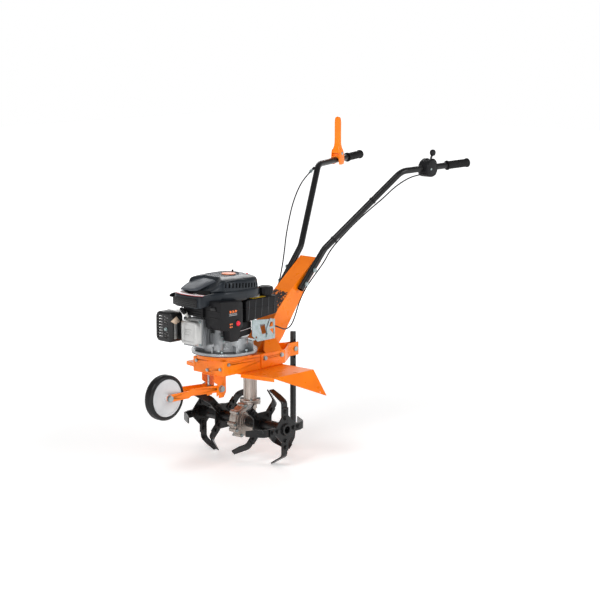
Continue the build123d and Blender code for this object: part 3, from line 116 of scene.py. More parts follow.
def make_studio():
    """Four lamps, a sky that fades upwards, and a floor that glows more the farther it is."""
    area_light("key", (0.6, -2.8, 3.4), (1.6, 1.6), 62)
    area_light("side", (3.2, 1.0, 2.2), (1.2, 2.0), 34)
    area_light("back", (-2.6, 2.6, 2.6), (2.4, 1.4), 40)
    area_light("strip", (2.2, -3.2, 0.7), (0.4, 1.8), 14)
    world = bpy.data.worlds.new("studio")
    bpy.context.scene.world = world
    world.use_nodes = True
    tree = world.node_tree
    background = tree.nodes["Background"]
    background.inputs["Color"].default_value = (1.0, 1.0, 1.0, 1.0)
    height = tree.nodes.new("ShaderNodeSeparateXYZ")
    tree.links.new(tree.nodes.new("ShaderNodeTexCoord").outputs["Generated"],
            height.inputs["Vector"])
    band = tree.nodes.new("ShaderNodeMapRange")
    for socket, number in (("From Min", 0.08), ("From Max", 0.34), ("To Min", 1.0),
            ("To Max", 0.34)):
        band.inputs[socket].default_value = number
    tree.links.new(height.outputs["Z"], band.inputs["Value"])
    tree.links.new(band.outputs["Result"], background.inputs["Strength"])
    bpy.context.scene.view_settings.view_transform = "Standard"

    mesh = bpy.data.meshes.new("floor")
    reach = 14.0
    mesh.from_pydata([(-reach, -reach, 0), (reach, -reach, 0), (reach, reach, 0),
            (-reach, reach, 0)], [], [(0, 1, 2, 3)])
    floor = placed("floor", mesh)
    floor.location.z = -0.001
    paper = Nodes("floor")
    paper.colour(paper.mix(paper.noise(6.0), (0.90, 0.90, 0.90), (0.93, 0.93, 0.93)))
    paper.set(Roughness=0.9, Emission_Color=(1.0, 1.0, 1.0, 1.0))
    away = paper.tree.nodes.new("ShaderNodeVectorMath")
    away.operation = "LENGTH"
    paper.link(paper.coords, away.inputs[0])
    glow = paper.remap(away.outputs["Value"], 0.9, 3.2, 0.30, 0.85)
    paper.link(glow, paper.shader.inputs["Emission Strength"])
    floor.data.materials.append(paper.material)


# ---------------- materials


class Nodes:
    """A small helper that adds shader nodes to a material and joins them up."""

    def __init__(self, name):
        self.material = bpy.data.materials.new(name)
        self.material.use_nodes = True
        self.tree = self.material.node_tree
        self.shader = self.tree.nodes["Principled BSDF"]
        self.coords = self.tree.nodes.new("ShaderNodeTexCoord").outputs["Object"]

    def link(self, source, target):
        self.tree.links.new(source, target)

    def set(self, **values):
        for key, value in values.items():
            self.shader.inputs[key.replace("_", " ")].default_value = value

    def add(self, kind, source=None, into=None, **values):
        """A node with its inputs set, fed by a source into one of them."""
        node = self.tree.nodes.new("ShaderNode" + kind)
        for key, value in values.items():
            node.inputs[key.replace("_", " ")].default_value = value
        if into:
            self.link(source, node.inputs[into])
        return node

    def noise(self, scale, detail=3.0, rough=0.55, coords=None):
        return self.add("TexNoise", coords or self.coords, "Vector", Scale=scale, Detail=detail,
                Roughness=rough).outputs["Fac"]

    def voronoi(self, scale):
        return self.add("TexVoronoi", self.coords, "Vector", Scale=scale).outputs["Distance"]

    def remap(self, value, low, high, new_low=0.0, new_high=1.0):
        return self.add("MapRange", value, "Value", From_Min=low, From_Max=high, To_Min=new_low,
                To_Max=new_high).outputs["Result"]

    def times(self, first, second):
        node = self.add("Math")
        node.operation = "MULTIPLY"
        self.link(first, node.inputs[0])
        self.link(second, node.inputs[1])
        return node.outputs["Value"]

    def mix(self, share, first, second):
        """A colour between two others, each a tuple or the output of a node."""
        node = self.add("Mix")
        node.data_type = "RGBA"
        self.link(share, node.inputs["Factor"])
        colour_a, colour_b = node.inputs[6], node.inputs[7]
        for socket, value in ((colour_a, first), (colour_b, second)):
            if isinstance(value, tuple):
                socket.default_value = (*value, 1.0)
            else:
                self.link(value, socket)
        return node.outputs[2]

    def stretched(self, scale):
        """Object coordinates stretched along the axes."""
        return self.add("Mapping", self.coords, "Vector", Scale=scale).outputs["Vector"]

    def edges(self, radius):
        """1 on convex edges and 0 on flats, from a rounded normal."""
        bevel = self.add("Bevel", Radius=radius)
        bevel.samples = 4
        dot = self.add("VectorMath")
        dot.operation = "DOT_PRODUCT"
        self.link(bevel.outputs["Normal"], dot.inputs[0])
        self.link(self.add("NewGeometry").outputs["Normal"], dot.inputs[1])
        return self.remap(dot.outputs["Value"], 0.98, 0.86)

    def bump(self, height, strength, distance):
        node = self.add("Bump", height, "Height", Strength=strength, Distance=distance)
        self.link(node.outputs["Normal"], self.shader.inputs["Normal"])

    def colour(self, value):
        self.link(value, self.shader.inputs["Base Color"])

    def roughness(self, value):
        self.link(value, self.shader.inputs["Roughness"])


def paint(name, colour, deep, roughness, worn=None, wear_radius=0.0012):
    """Powder coat: slight orange peel, a drift in tone, and optional rubbed edges."""
    made = Nodes(name)
    tone = made.mix(made.remap(made.noise(9.0), 0.35, 0.65), deep, colour)
    speck = made.remap(made.noise(420.0, 2.0), 0.30, 0.70, 0.0, 0.16)
    tone = made.mix(speck, tone, deep)
    if worn:
        patch = made.remap(made.noise(70.0, 5.0), 0.50, 0.64)
        tone = made.mix(made.times(made.edges(wear_radius), patch), tone, worn)
    made.colour(tone)
    made.roughness(made.remap(made.noise(35.0, 4.0), 0.3, 0.7, roughness - 0.05, roughness + 0.08))
    made.set(Coat_Weight=0.12, Coat_Roughness=0.12, Specular_IOR_Level=0.3)
    made.bump(made.noise(650.0, 2.0), 0.22, 0.0004)
    return made.material


def cast_metal(name, colour, deep, roughness, grain=480.0, strength=0.5):
    """Sand or die cast alloy: a fine pitted grain with darker pits."""
    made = Nodes(name)
    pits = made.noise(grain, 4.0, 0.7)
    tone = made.mix(made.remap(pits, 0.3, 0.7), deep, colour)
    stain = made.remap(made.noise(24.0, 4.0), 0.45, 0.75, 0.0, 0.45)
    made.colour(made.mix(stain, tone, deep))
    made.set(Metallic=0.85)
    made.roughness(made.remap(made.noise(60.0), 0.3, 0.7, roughness - 0.06, roughness + 0.10))
    made.bump(pits, strength, 0.0005)
    return made.material


def bright_metal(name, colour, tint, roughness, brushed=(1.0, 1.0, 1.0)):
    """Plated or machined steel: fine directional marks and a passivated tint."""
    made = Nodes(name)
    marks = made.noise(700.0, 3.0, 0.6, made.stretched(brushed))
    tone = made.mix(made.remap(made.noise(60.0, 3.0), 0.35, 0.7), colour, tint)
    dark = tuple(c * 0.8 for c in colour)
    made.colour(made.mix(made.remap(marks, 0.4, 0.8, 0.0, 0.4), tone, dark))
    made.set(Metallic=1.0)
    made.roughness(made.remap(marks, 0.3, 0.7, roughness - 0.06, roughness + 0.10))
    made.bump(marks, 0.18, 0.0002)
    return made.material


def moulded(name, colour, pale, roughness, grain=900.0, strength=0.35, metallic=0.0, coat=0.0):
    """Injection moulded plastic or rubber: an eroded grain and a faint bloom."""
    made = Nodes(name)
    cells = made.voronoi(grain)
    bloom = made.remap(made.noise(14.0, 4.0), 0.4, 0.75, 0.0, 0.6)
    made.colour(made.mix(bloom, colour, pale))
    made.roughness(made.remap(made.noise(45.0, 3.0), 0.3, 0.7, roughness - 0.06, roughness + 0.08))
    made.set(Metallic=metallic, Coat_Weight=coat, Coat_Roughness=0.2, Specular_IOR_Level=0.2)
    made.bump(cells, strength, 0.0003)
    return made.material


def film(name, ground, ink, scale, low=0.4, high=0.6):
    """A printed film with an abstract blotch pattern."""
    made = Nodes(name)
    blotch = made.noise(scale, 3.0, 0.5, made.stretched((1.0, 0.6, 1.4)))
    made.colour(made.mix(made.remap(blotch, low, high), ground, ink))
    made.set(Roughness=0.4, Coat_Weight=0.3)
    made.bump(made.noise(500.0), 0.05, 0.0002)
    return made.material


def make_materials():
    orange, deep_orange = (1.0, 0.225, 0.0), (0.93, 0.185, 0.0)
    black, soft_black = (0.0035, 0.0035, 0.004), (0.0075, 0.0075, 0.008)
    return {
        "orange": paint("orange_paint", orange, deep_orange, 0.30),
        "black": paint("black_paint", soft_black, black, 0.34),
        "tine": paint("tine_paint", soft_black, black, 0.30, worn=(0.07, 0.06, 0.055),
                      wear_radius=0.0014),
        "engine": cast_metal("engine_alloy", (0.42, 0.43, 0.44), (0.15, 0.16, 0.17), 0.40),
        "flange": cast_metal("flange_alloy", (0.46, 0.47, 0.48), (0.22, 0.23, 0.24), 0.32, 700.0,
                             0.3),
        "gearbox": cast_metal("gearbox_alloy", (0.56, 0.51, 0.46), (0.36, 0.32, 0.29), 0.36, 600.0,
                              0.4),
        "cover": cast_metal("cover_alloy", (0.60, 0.60, 0.59), (0.46, 0.46, 0.45), 0.36, 900.0,
                            0.25),
        "zinc": bright_metal("zinc_plate", (0.40, 0.45, 0.47), (0.27, 0.34, 0.33), 0.28),
        # The ribs' grey is lighter than the tank's black: a painted highlight along each rib.
        "rib": moulded("rib_plastic_painted_highlight", (0.045, 0.046, 0.050), (0.07, 0.07, 0.075), 0.34, 800.0, 0.2),
        "steel": bright_metal("machined_steel", (0.66, 0.66, 0.67), (0.56, 0.57, 0.60), 0.26,
                              (1, 6, 1)),
        "bright": bright_metal("muffler_steel", (0.82, 0.83, 0.84), (0.74, 0.72, 0.68), 0.30,
                               (1, 1, 5)),
        "bronze": bright_metal("bronze", (0.62, 0.42, 0.18), (0.52, 0.33, 0.13), 0.34),
        "cowl": moulded("cowl_plastic", (0.012, 0.016, 0.021), (0.022, 0.028, 0.036), 0.34, 1100.0,
                        0.35, metallic=0.25, coat=0.2),
        "dome": moulded("dome_plastic", (0.085, 0.095, 0.11), (0.12, 0.13, 0.145), 0.36, 1100.0,
                        0.35, metallic=0.5, coat=0.1),
        "plastic": moulded("black_plastic", (0.005, 0.005, 0.006), (0.010, 0.010, 0.012), 0.40,
                           800.0, 0.3),
        "gloss": moulded("gloss_plastic", (0.003, 0.003, 0.0035), (0.006, 0.006, 0.007), 0.24,
                         600.0, 0.08, coat=0.3),
        "rubber": moulded("black_rubber", (0.006, 0.006, 0.0065), (0.012, 0.012, 0.013), 0.55,
                          1200.0, 0.3),
        "tyre": moulded("tyre_rubber", (0.005, 0.005, 0.0055), (0.010, 0.010, 0.011), 0.36, 700.0,
                        0.2, coat=0.2),
        "white": moulded("white_plastic", (0.66, 0.66, 0.67), (0.42, 0.43, 0.45), 0.36, 500.0,
                         0.12),
        "red": moulded("red_rubber", (0.78, 0.010, 0.035), (0.62, 0.006, 0.02), 0.30, 900.0, 0.06,
                       coat=0.3),
        "sheath": moulded("cable_sheath", (0.012, 0.012, 0.013), (0.020, 0.020, 0.022), 0.40,
                          1500.0, 0.15),
        "ceramic": moulded("ceramic", (0.80, 0.80, 0.77), (0.72, 0.72, 0.69), 0.18, 900.0, 0.04,
                           coat=0.5),
        "tag": moulded("tag_card", (0.62, 0.48, 0.36), (0.52, 0.38, 0.27), 0.6, 900.0, 0.3),
        "badge": film("badge_film", (0.88, 0.20, 0.05), (0.90, 0.36, 0.22), 60.0),
        "band": bright_metal("silver_band", (0.72, 0.73, 0.75), (0.60, 0.61, 0.63), 0.32),
        "red_line": film("red_film", (0.70, 0.01, 0.02), (0.60, 0.008, 0.015), 40.0),
        "yellow": film("yellow_film", (0.90, 0.56, 0.01), (0.82, 0.50, 0.01), 30.0),
        "dark_film": film("dark_film", (0.010, 0.010, 0.012), (0.88, 0.20, 0.01), 95.0, 0.575,
                          0.59),
        "orange_film": film("orange_film", (0.90, 0.17, 0.01), (0.86, 0.15, 0.01), 30.0),
        "grey_film": film("grey_film", (0.30, 0.31, 0.32), (0.24, 0.25, 0.26), 30.0),
    }


# ---------------- mesh helpers


def new_piece(name, mesh, look, body="machine"):
    """Makes a piece of one mesh or several, which rides on a body; its look sets its material."""
    if isinstance(mesh, list):
        mesh = join_meshes(mesh)
    mesh.name = name
    piece = placed(name, mesh)
    mesh.materials.clear()
    mesh.materials.append(LOOK[look])
    for face in mesh.polygons:
        face.use_smooth = True
    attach(piece, body)
    return piece


def mesh_from(points, faces):
    mesh = bpy.data.meshes.new("mesh")
    mesh.from_pydata([tuple(p) for p in points], [], faces)
    mesh.validate()
    mesh.update()
    return mesh


def sharpened(mesh, degrees=32.0):
    """Marks edges sharper than an angle, so that smooth shading stops at them."""
    grid = bmesh.new()
    grid.from_mesh(mesh)
    bmesh.ops.recalc_face_normals(grid, faces=grid.faces)
    limit = radians(degrees)
    for edge in grid.edges:
        edge.smooth = len(edge.link_faces) == 2 and edge.calc_face_angle(0.0) < limit
    grid.to_mesh(mesh)
    grid.free()
    return mesh


def bevelled(piece, width, segments=3, degrees=30.0):
    """Rounds the piece's edges and applies the result to its mesh."""
    modifier = piece.modifiers.new("round", "BEVEL")
    modifier.width = width * MM
    modifier.segments = segments
    modifier.limit_method = "ANGLE"
    modifier.angle_limit = radians(degrees)
    return applied(piece)


def applied(piece):
    """Bakes the piece's modifiers into its mesh."""
    bpy.context.view_layer.update()
    graph = bpy.context.evaluated_depsgraph_get()
    mesh = bpy.data.meshes.new_from_object(piece.evaluated_get(graph))
    piece.modifiers.clear()
    piece.data = mesh
    for face in mesh.polygons:
        face.use_smooth = True
    sharpened(mesh)
    return piece


def walled(piece, thick, offset=-1.0):
    """Gives an open skin a wall, inwards unless the offset says otherwise."""
    shell = piece.modifiers.new("wall", "SOLIDIFY")
    shell.thickness = thick * MM
    shell.offset = offset
    return applied(piece)


def cut(piece, shapes):
    """Cuts the given meshes, which don't touch one another, out of the piece."""
    cutter = placed("cutter", join_meshes(shapes))
    modifier = piece.modifiers.new("cut", "BOOLEAN")
    modifier.operation = "DIFFERENCE"
    modifier.solver = "EXACT"
    modifier.object = cutter
    applied(piece)
    bpy.data.objects.remove(cutter)
    return piece


def join_meshes(meshes):
    """One mesh made of several."""
    joined = bmesh.new()
    for mesh in meshes:
        joined.from_mesh(mesh)
        bpy.data.meshes.remove(mesh)
    made = bpy.data.meshes.new("mesh")
    joined.to_mesh(made)
    joined.free()
    return made


def prism(outline, start, across, up, depth):
    """An outline of (across, up) pairs in mm, pushed along the third direction by depth mm."""
    across, up = Vector(across).normalized(), Vector(up).normalized()
    out = across.cross(up).normalized()
    low = [start + (across * a + up * b) * MM for a, b in outline]
    high = [point + out * depth * MM for point in low]
    count = len(outline)
    faces = [tuple(range(count - 1, -1, -1)), tuple(range(count, 2 * count))]
    faces += [(i, (i + 1) % count, count + (i + 1) % count, count + i) for i in range(count)]
    return sharpened(mesh_from(low + high, faces))


def rect(width, height):
    return (0, 0), (width, 0), (width, height), (0, height)


def rod(radius, start, end):
    """The profile of a plain round solid, for lathe()."""
    return (0, start), (radius, start), (radius, end), (0, end)


def slab(x, y, z):
    """A box mesh between limits in mm, as the start of a rounded or cut shape."""
    return prism(rect(x[1] - x[0], y[1] - y[0]), at(x[0], y[0], z[0]), *TOP, z[1] - z[0])


def around(axis):
    """The unit axis and two directions square to it and to each other."""
    axis = Vector(axis).normalized()
    side = axis.orthogonal().normalized()
    return axis, side, axis.cross(side)


def lathe(profile, centre, axis, steps=72):
    """A closed body turned about an axis: the profile is (radius, distance) pairs in mm."""
    axis, side, other = around(axis)
    points, faces, rings = [], [], []
    for radius, height in profile:
        if radius < 1e-6:
            rings.append([len(points)])
            points.append(centre + axis * height * MM)
            continue
        rings.append(list(range(len(points), len(points) + steps)))
        for step in range(steps):
            turn = math.tau * step / steps
            points.append(centre + (axis * height + (side * cos(turn) + other * sin(turn)) * radius)
                    * MM)
    closed = profile[0] == profile[-1]
    pairs = list(zip(rings, rings[1:]))
    if closed:
        pairs[-1] = (rings[-2], rings[0])
    for first, second in pairs:
        for step in range(steps):
            a, b = first[step % len(first)], first[(step + 1) % len(first)]
            c, d = second[(step + 1) % len(second)], second[step % len(second)]
            face = [i for n, i in enumerate((a, b, c, d)) if i not in (a, b, c, d)[:n]]
            if len(face) > 2:
                faces.append(tuple(face))
    mesh = mesh_from(points, faces)
    if closed:
        drop_loose(mesh)
    return sharpened(mesh)


def drop_loose(mesh):
    """Removes the points that no face uses."""
    grid = bmesh.new()
    grid.from_mesh(mesh)
    loose = [v for v in grid.verts if not v.link_faces]
    bmesh.ops.delete(grid, geom=loose, context="VERTS")
    grid.to_mesh(mesh)
    grid.free()


def loft(rings, cap_start=True, cap_end=True, closed=True):
    """A skin over rings of equally many points, given as lists of frame points."""
    count = len(rings[0])
    points = [point for ring in rings for point in ring]
    faces = []
    for row in range(len(rings) - 1):
        for i in range(count if closed else count - 1):
            a, b = row * count + i, row * count + (i + 1) % count
            faces.append((a, b, b + count, a + count))
    if cap_start:
        faces.append(tuple(range(count - 1, -1, -1)))
    if cap_end:
        last = (len(rings) - 1) * count
        faces.append(tuple(range(last, last + count)))
    return sharpened(mesh_from(points, faces))


def curve_mesh(curve):
    """The surface of a curve, as a smooth mesh."""
    holder = placed("holder", curve)
    graph = bpy.context.evaluated_depsgraph_get()
    mesh = bpy.data.meshes.new_from_object(holder.evaluated_get(graph))
    bpy.data.objects.remove(holder)
    return mesh


def wire_mesh(points, radius, steps=10):
    """A round wire along a smooth curve through given points, in mm."""
    return curve_mesh(spline_curve("wire", [at(*p) for p in points], radius * MM, steps))


def spline_curve(name, points, radius, steps=12):
    """A round NURBS curve of order 3 with the points as its control points."""
    curve = bpy.data.curves.new(name, "CURVE")
    curve.dimensions = "3D"
    curve.bevel_depth = radius
    curve.bevel_resolution = 4
    curve.resolution_u = steps
    curve.use_fill_caps = True
    spline = curve.splines.new("NURBS")
    spline.points.add(len(points) - 1)
    for spot, point in zip(spline.points, points):
        spot.co = (*point, 1.0)
    spline.order_u = 3
    spline.use_endpoint_u = True
    return curve


def hex_head(centre, axis, across, height, dome=0.25):
    """A hexagon head with a chamfered crown and a flat washer under it."""
    axis, side, other = around(axis)
    radius = across / math.sqrt(3)

    def ring(size, level):
        return [centre + (axis * level + (side * cos(math.pi * k / 3) + other
                * sin(math.pi * k / 3)) * size) * MM for k in range(6)]

    crown = height * (1 + dome * 0.3)
    rings = [ring(radius, 0), ring(radius, height * 0.85), ring(radius * 0.86, height),
            ring(radius * 0.5, crown)]
    head = loft(rings)
    washer = lathe(((0, -1.8), (radius * 1.25, -1.8), (radius * 1.32, -1.2), (radius * 1.32, -0.3),
            (radius * 1.25, 0), (0, 0)), centre, axis, 40)
    return join_meshes([head, washer])


def weld_bead(points, radius, pitch=3.0):
    """A ripple of overlapping beads along straight runs between points, in mm."""
    beads = []
    for start, end in zip(points, points[1:]):
        first, last = at(*start), at(*end)
        count = max(2, round((last - first).length / (pitch * MM)))
        run = (last - first).normalized()
        for step in range(count + 1):
            centre = first.lerp(last, step / count)
            profile = [(0, -radius)]
            profile += [(radius * sin(math.pi * k / 6), -radius * cos(math.pi * k / 6))
                    for k in range(1, 6)]
            profile.append((0, radius))
            beads.append(lathe(profile, centre, run, 10))
    return join_meshes(beads)


# ---------------- carried-over CAD nodes

CAD_LOOKS = {
    "orange": ("chassis", "base_plate", "fenders", "steering_column", "stake_straps",
               "wheel_bracket", "wheel_fork", "engine_plate", "clutch_saddle"),
    "black": ("handlebar_left", "handlebar_right", "depth_stake"),
    "tine": ("rotor_hubs", "inner_tines", "outer_tines", "rotor_bolts"),
    "engine": ("cylinder_head", "carburettor", "piston"),
    "flange": ("engine_block", "flywheel", "driven_pulley"),
    "gearbox": ("gearbox_left", "gearbox_right", "gear_tube"),
    "zinc": ("frame_bolts", "wheel_axle", "stake_pin", "throttle_plate", "throttle_arm",
             "tensioner_arm"),
    "steel": ("output_shaft", "worm_shaft", "bearings_and_seals", "crankshaft", "engine_pulley"),
    "bright": ("muffler",),
    "bronze": ("worm_wheel",),
    "rubber": ("drive_belt", "engine_gasket"),
    "plastic": ("idler_pulley", "cable_holders"),
    "ceramic": ("spark_plug",),
}
ROUNDED = {"chassis": 1.6, "fenders": 0.9, "steering_column": 2.2, "stake_straps": 1.0,
        "wheel_bracket": 1.0, "wheel_fork": 1.2, "depth_stake": 1.0, "throttle_plate": 0.5,
        "cylinder_head": 1.5, "outer_tines": 0.7, "inner_tines": 0.7, "rotor_hubs": 0.7,
        "clutch_saddle": 0.8, "gearbox_left": 1.0, "gearbox_right": 1.0, "gear_tube": 1.2,
        "carburettor": 1.0, "engine_block": 0.8, "frame_bolts": 0.4, "rotor_bolts": 0.4,
        "engine_plate": 0.9}


def soften(node, width):
    """Welds the CAD node's split edges and rounds its sharp ones, as modifiers only."""
    piece = NODES[node]
    weld = piece.modifiers.new("weld", "WELD")
    weld.merge_threshold = 0.00001
    bevel = piece.modifiers.new("round", "BEVEL")
    bevel.width = width * MM
    bevel.segments = 2
    bevel.limit_method = "ANGLE"
    bevel.angle_limit = radians(40)
    bevel.harden_normals = True


def dress_cad_nodes():
    """Gives the CAD nodes that stay in view their materials and soft edges."""
    for look, names in CAD_LOOKS.items():
        for name in names:
            mesh = NODES[name].data
            mesh.materials.clear()
            mesh.materials.append(LOOK[look])
    for name, width in ROUNDED.items():
        soften(name, width)


# ---------------- engine cowl

CRANK = Vector(JOINTS["crank_spin"]["pos_m"])
CRANK_Y = (CRANK.y - AXLE_Y) / MM
CRANK_LINE = (at(0, CRANK_Y, 0), Z)
COWL_POINTS = 144


def round_room(radius, bottom):
    """The cutter that keeps the pieces beside the flywheel housing clear of it."""
    return lathe(rod(radius, bottom, 700), *CRANK_LINE, 96)


def cowl_ring(radius, half, length, drum_z, nose_z):
    """One level of the cowl: a rounded block over the crank, with a narrower nose in front."""
    ring = []
    front_length, rear_length = min(radius * 1.42, length), radius * 1.07
    for step in range(COWL_POINTS):
        turn = math.tau * step / COWL_POINTS
        side, front = sin(turn), cos(turn)
        if front > 0:
            body = ((abs(side) / radius) ** 3.2 + (front / front_length) ** 3.2) ** (-1 / 3.2)
            square = ((abs(side) / half) ** 9 + (front / length) ** 9) ** (-1 / 9)
            reach = (body ** 14 + square ** 14) ** (1 / 14)
        else:
            reach = ((abs(side) / radius) ** 3.6 + (-front / rear_length) ** 3.6) ** (-1 / 3.6)
        ahead = (reach * front - radius * 0.95) / (length - radius * 0.95)
        share = min(1.0, max(0.0, ahead))
        share = share * share * (3 - 2 * share)
        ring.append(at(reach * side, CRANK_Y - reach * front, drum_z + (nose_z - drum_z) * share))
    return ring


def cowl_skin(name, levels, wall, look):
    """A thin moulding over a stack of cowl rings."""
    mesh = loft([cowl_ring(*level) for level in levels], cap_start=False, cap_end=False)
    piece = new_piece(name, mesh, look)
    return walled(piece, wall)


def build_cowl():
    skirt = ((103, 70, 185, 613, 593), (104.5, 73, 187, 616, 596), (104.5, 73, 187, 636, 630),
            (103.5, 72, 186, 641, 634), (101.5, 70, 183, 644, 636.5), (99, 67, 177, 645, 637.5),
            (96.5, 63, 150, 644, 637), (95, 61, 128, 640, 632), (94, 60, 124, 634, 624))
    lower = cowl_skin("cowl_skirt", skirt, 2.5, "cowl")
    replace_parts(lower, "engine_cowl")
    hood = ((97, 60, 117, 642, 634), (99.5, 61, 119, 645, 640), (99.5, 61, 120, 650, 645),
            (98.5, 60, 120, 668, 648), (96, 58.5, 118, 676, 650), (91, 55, 114, 681, 652),
            (83, 49, 102, 684.5, 657), (74, 42, 86, 687, 667), (65, 34, 68, 689, 679),
            (61, 30, 60, 689.5, 688), (59, 28, 58, 689.8, 689.5), (58, 28, 57, 688.5, 688))
    top = cowl_skin("cowl_hood", hood, 2.5, "cowl")
    slots = []
    for index in range(10):
        y = -178 + index * 15.4
        rise = 1.35 * index
        outline = ((0, 0), (7.4, 0), (9.4, 17), (2.0, 17))
        slots.append(prism(outline, at(80, y, 658.5 - rise), *SIDE, 40))
    slots.append(lathe(rod(6, -20, 20), at(47, -213, 664), (0.8, -0.5, 0.3)))
    cut(top, slots)
    housing = lathe(((91, 605.5), (93, 605.5), (93, 640), (91, 640), (91, 605.5)), *CRANK_LINE)
    new_piece("blower_wall", housing, "gloss")
    slot_panel()
    top_plate()
    grille()
    nose_details()
    top_details()


# The top plate's outline: for each row from the beak back, Y, the two edges' X and the middle's Z.
PLATE_ROWS = ((-245, -64, -22, 652.5), (-243, -66, -2, 653.5), (-238, -70, 10, 655),
        (-228, -74, 16, 658.5), (-214, -77, 19, 663.5), (-200, -79, 22, 668.5),
        (-184, -80, 27, 674), (-168, -80, 34, 679.5), (-150, -79, 42, 684.5), (-134, -78, 48, 688),
        (-118, -77, 53, 690.5), (-100, -76, 58, 691.8), (-80, -74, 61, 692), (-60, -68, 60, 692),
        (-42, -58, 54, 692), (-28, -46, 45, 691.4), (-16, -30, 32, 690), (-8, -14, 18, 688))


def top_plate():
    """The metallic plate over the hood, ending in a beak above the nose."""
    steps, rings = 12, []
    for y, left, right, z in PLATE_ROWS:
        ring = []
        for step in range(steps + 1):
            share = step / steps
            x = left + (right - left) * share
            drop = 0.0009 * (x + 10) ** 2 + 2.6 * abs(2 * share - 1) ** 10
            ring.append(at(x, y, z - drop))
        rings.append(ring + [point - Z * 5.0 * MM for point in reversed(ring)])
    plate = loft(rings)
    piece = new_piece("hood_plate", plate, "dome")
    bevelled(piece, 1.2, 2, 40)
    hole = lathe(rod(58.5, 650, 720), at(-4, CRANK_Y, 0), Z, 96)
    cut(piece, [hole])
    # A gloss black strip under the beak: painted shade standing in for the dark hollow under the
    # plate's front edge.
    mouth = [(150 * sin(radians(turn)), -109 - 139 * cos(radians(turn)))
            for turn in range(-26, 27, 2)]
    rings = [[at(x * scale, CRANK_Y + (y - CRANK_Y) * scale, z) for x, y in mouth] for scale,
            z in ((0.985, 638), (0.90, 650))]
    shade = loft(rings, cap_start=False, cap_end=False, closed=False)
    hollow_shade_strip = new_piece("mouth_shade", shade, "gloss")
    walled(hollow_shade_strip, 1.0)


def slot_panel():
    """The raised rim round the cooling slots on the left side, and the dark wall behind them."""
    frame_line = ((101.5, -186, 640), (100.8, -189, 655), (98.6, -187, 676), (95.0, -178, 682),
            (92.0, -130, 682.5), (91.5, -70, 679), (90.0, -26, 673), (88.5, -18, 668),
            (90.5, -14, 655), (91.5, -16, 642))
    rim = wire_mesh(frame_line, 1.7, 16)
    new_piece("slot_rim", rim, "cowl")
    outline = [(92.5 * cos(radians(turn)), CRANK_Y + 92.5 * sin(radians(turn)))
            for turn in range(-60, 61, 4)]
    rings = [[at(x, y, z) for x, y in outline] for z in (644, 678)]
    mesh = loft(rings, cap_start=False, cap_end=False, closed=False)
    piece = new_piece("slot_backing", mesh, "gloss")
    walled(piece, 1.0)


def grille():
    """The intake grille: rings and spokes round a solid hub."""
    ring_edges = [12]
    while ring_edges[-1] < 52:
        ring_edges += [ring_edges[-1] + 5.6, ring_edges[-1] + 7.6]
    ring_edges.append(59.5)
    spokes = 40
    angles = []
    for spoke in range(spokes):
        start = math.tau * spoke / spokes
        angles += [start, start + math.tau / spokes * 0.30]
    points, faces = [], []
    for radius in ring_edges:
        height = 690.4 - 0.0009 * radius * radius
        for angle in angles:
            lean = angle + radius * 0.006
            points.append(at(radius * sin(lean) - 4, CRANK_Y - radius * cos(lean), height))
    count = len(angles)
    for row in range(len(ring_edges) - 1):
        ring_bar = row % 2 == 1 or row >= len(ring_edges) - 2
        for i in range(count):
            if ring_bar or i % 2 == 0:
                a, b = row * count + i, row * count + (i + 1) % count
                faces.append((a, b, b + count, a + count))
    faces.append(tuple(range(count)))
    mesh = mesh_from(points, faces)
    piece = new_piece("cowl_grille", mesh, "dome")
    walled(piece, 2.4, 0.0)
    bevelled(piece, 0.4, 1)
    # A gloss black disc under the grille: painted shade for the dark inside of the intake.
    disc = lathe(rod(56, 676, 678), *CRANK_LINE)
    new_piece("grille_shade", disc, "gloss")


def arc_strip(name, look, inner, outer, z, thick, half_angle, forward, steps=28):
    """A curved strip that follows the front of the nose."""
    rings = []
    for step in range(steps + 1):
        turn = radians(-half_angle + 2 * half_angle * step / steps)
        rings.append([at(radius * sin(turn), forward - radius * cos(turn), level) for radius,
                level in ((inner, z), (outer, z), (outer, z + thick), (inner, z + thick))])
    new_piece(name, loft(rings), look)


def nose_details():
    """The recessed black front panel, the silver arc and its red line."""
    outline = ((-62, 0), (52, 0), (55, 4), (56, 26), (50, 32), (-60, 30), (-66, 24), (-66, 4))
    panel = prism(outline, at(0, -280.6, 597), *FRONT, 1.6)
    bevelled(new_piece("nose_panel", panel, "gloss"), 0.7, 2)
    louvres = []
    for row in range(4):
        z = 601.0 + row * 6.2
        louvre = ((-60 + row, 0), (52, 0), (52, 1.5), (-60 + row, 1.5))
        louvres.append(prism(louvre, at(0, -281.4, z), *FRONT, 1.2))
    new_piece("nose_louvres", louvres, "plastic")
    arc_strip("nose_band", "band", 152, 168, 637.4, 1.2, 24, -110)
    arc_strip("nose_line", "red_line", 168.2, 169.8, 637.2, 1.0, 24, -110)
    arc_strip("nose_line_back", "red_line", 149.0, 151.6, 637.4, 1.2, 25, -110)


def top_details():
    """The round patch over the grille, the little knob behind it and the red tell-tale."""
    profile = ((0, -1.0), (24, -1.0), (25, -0.4), (25, 1.6), (23.5, 2.4), (12, 3.0), (0, 3.1))
    badge = lathe(profile, Vector((0, 0, 0)), Z)
    badge.transform(Matrix.Translation(at(13, -82, 692)) @ Matrix.Diagonal((1.05, 1.0, 1.0, 1.0)))
    new_piece("grille_badge", badge, "badge")
    knob = ((0, -3), (5.5, -3), (5.5, 1), (3.2, 3), (3.2, 6), (4.4, 8), (3.8, 9.6), (0, 10.2))
    new_piece("top_knob", lathe(knob, at(-4, -45, 691), Z, 32), "gloss")
    dot = ((0, -1), (4, -1), (4, 2), (2.8, 3.2), (0, 3.6))
    new_piece("tell_tale", lathe(dot, at(48, -24, 687.5), (0.5, 0.2, 0.8), 24), "red")


# ---------------- tank, filter, fuel cap


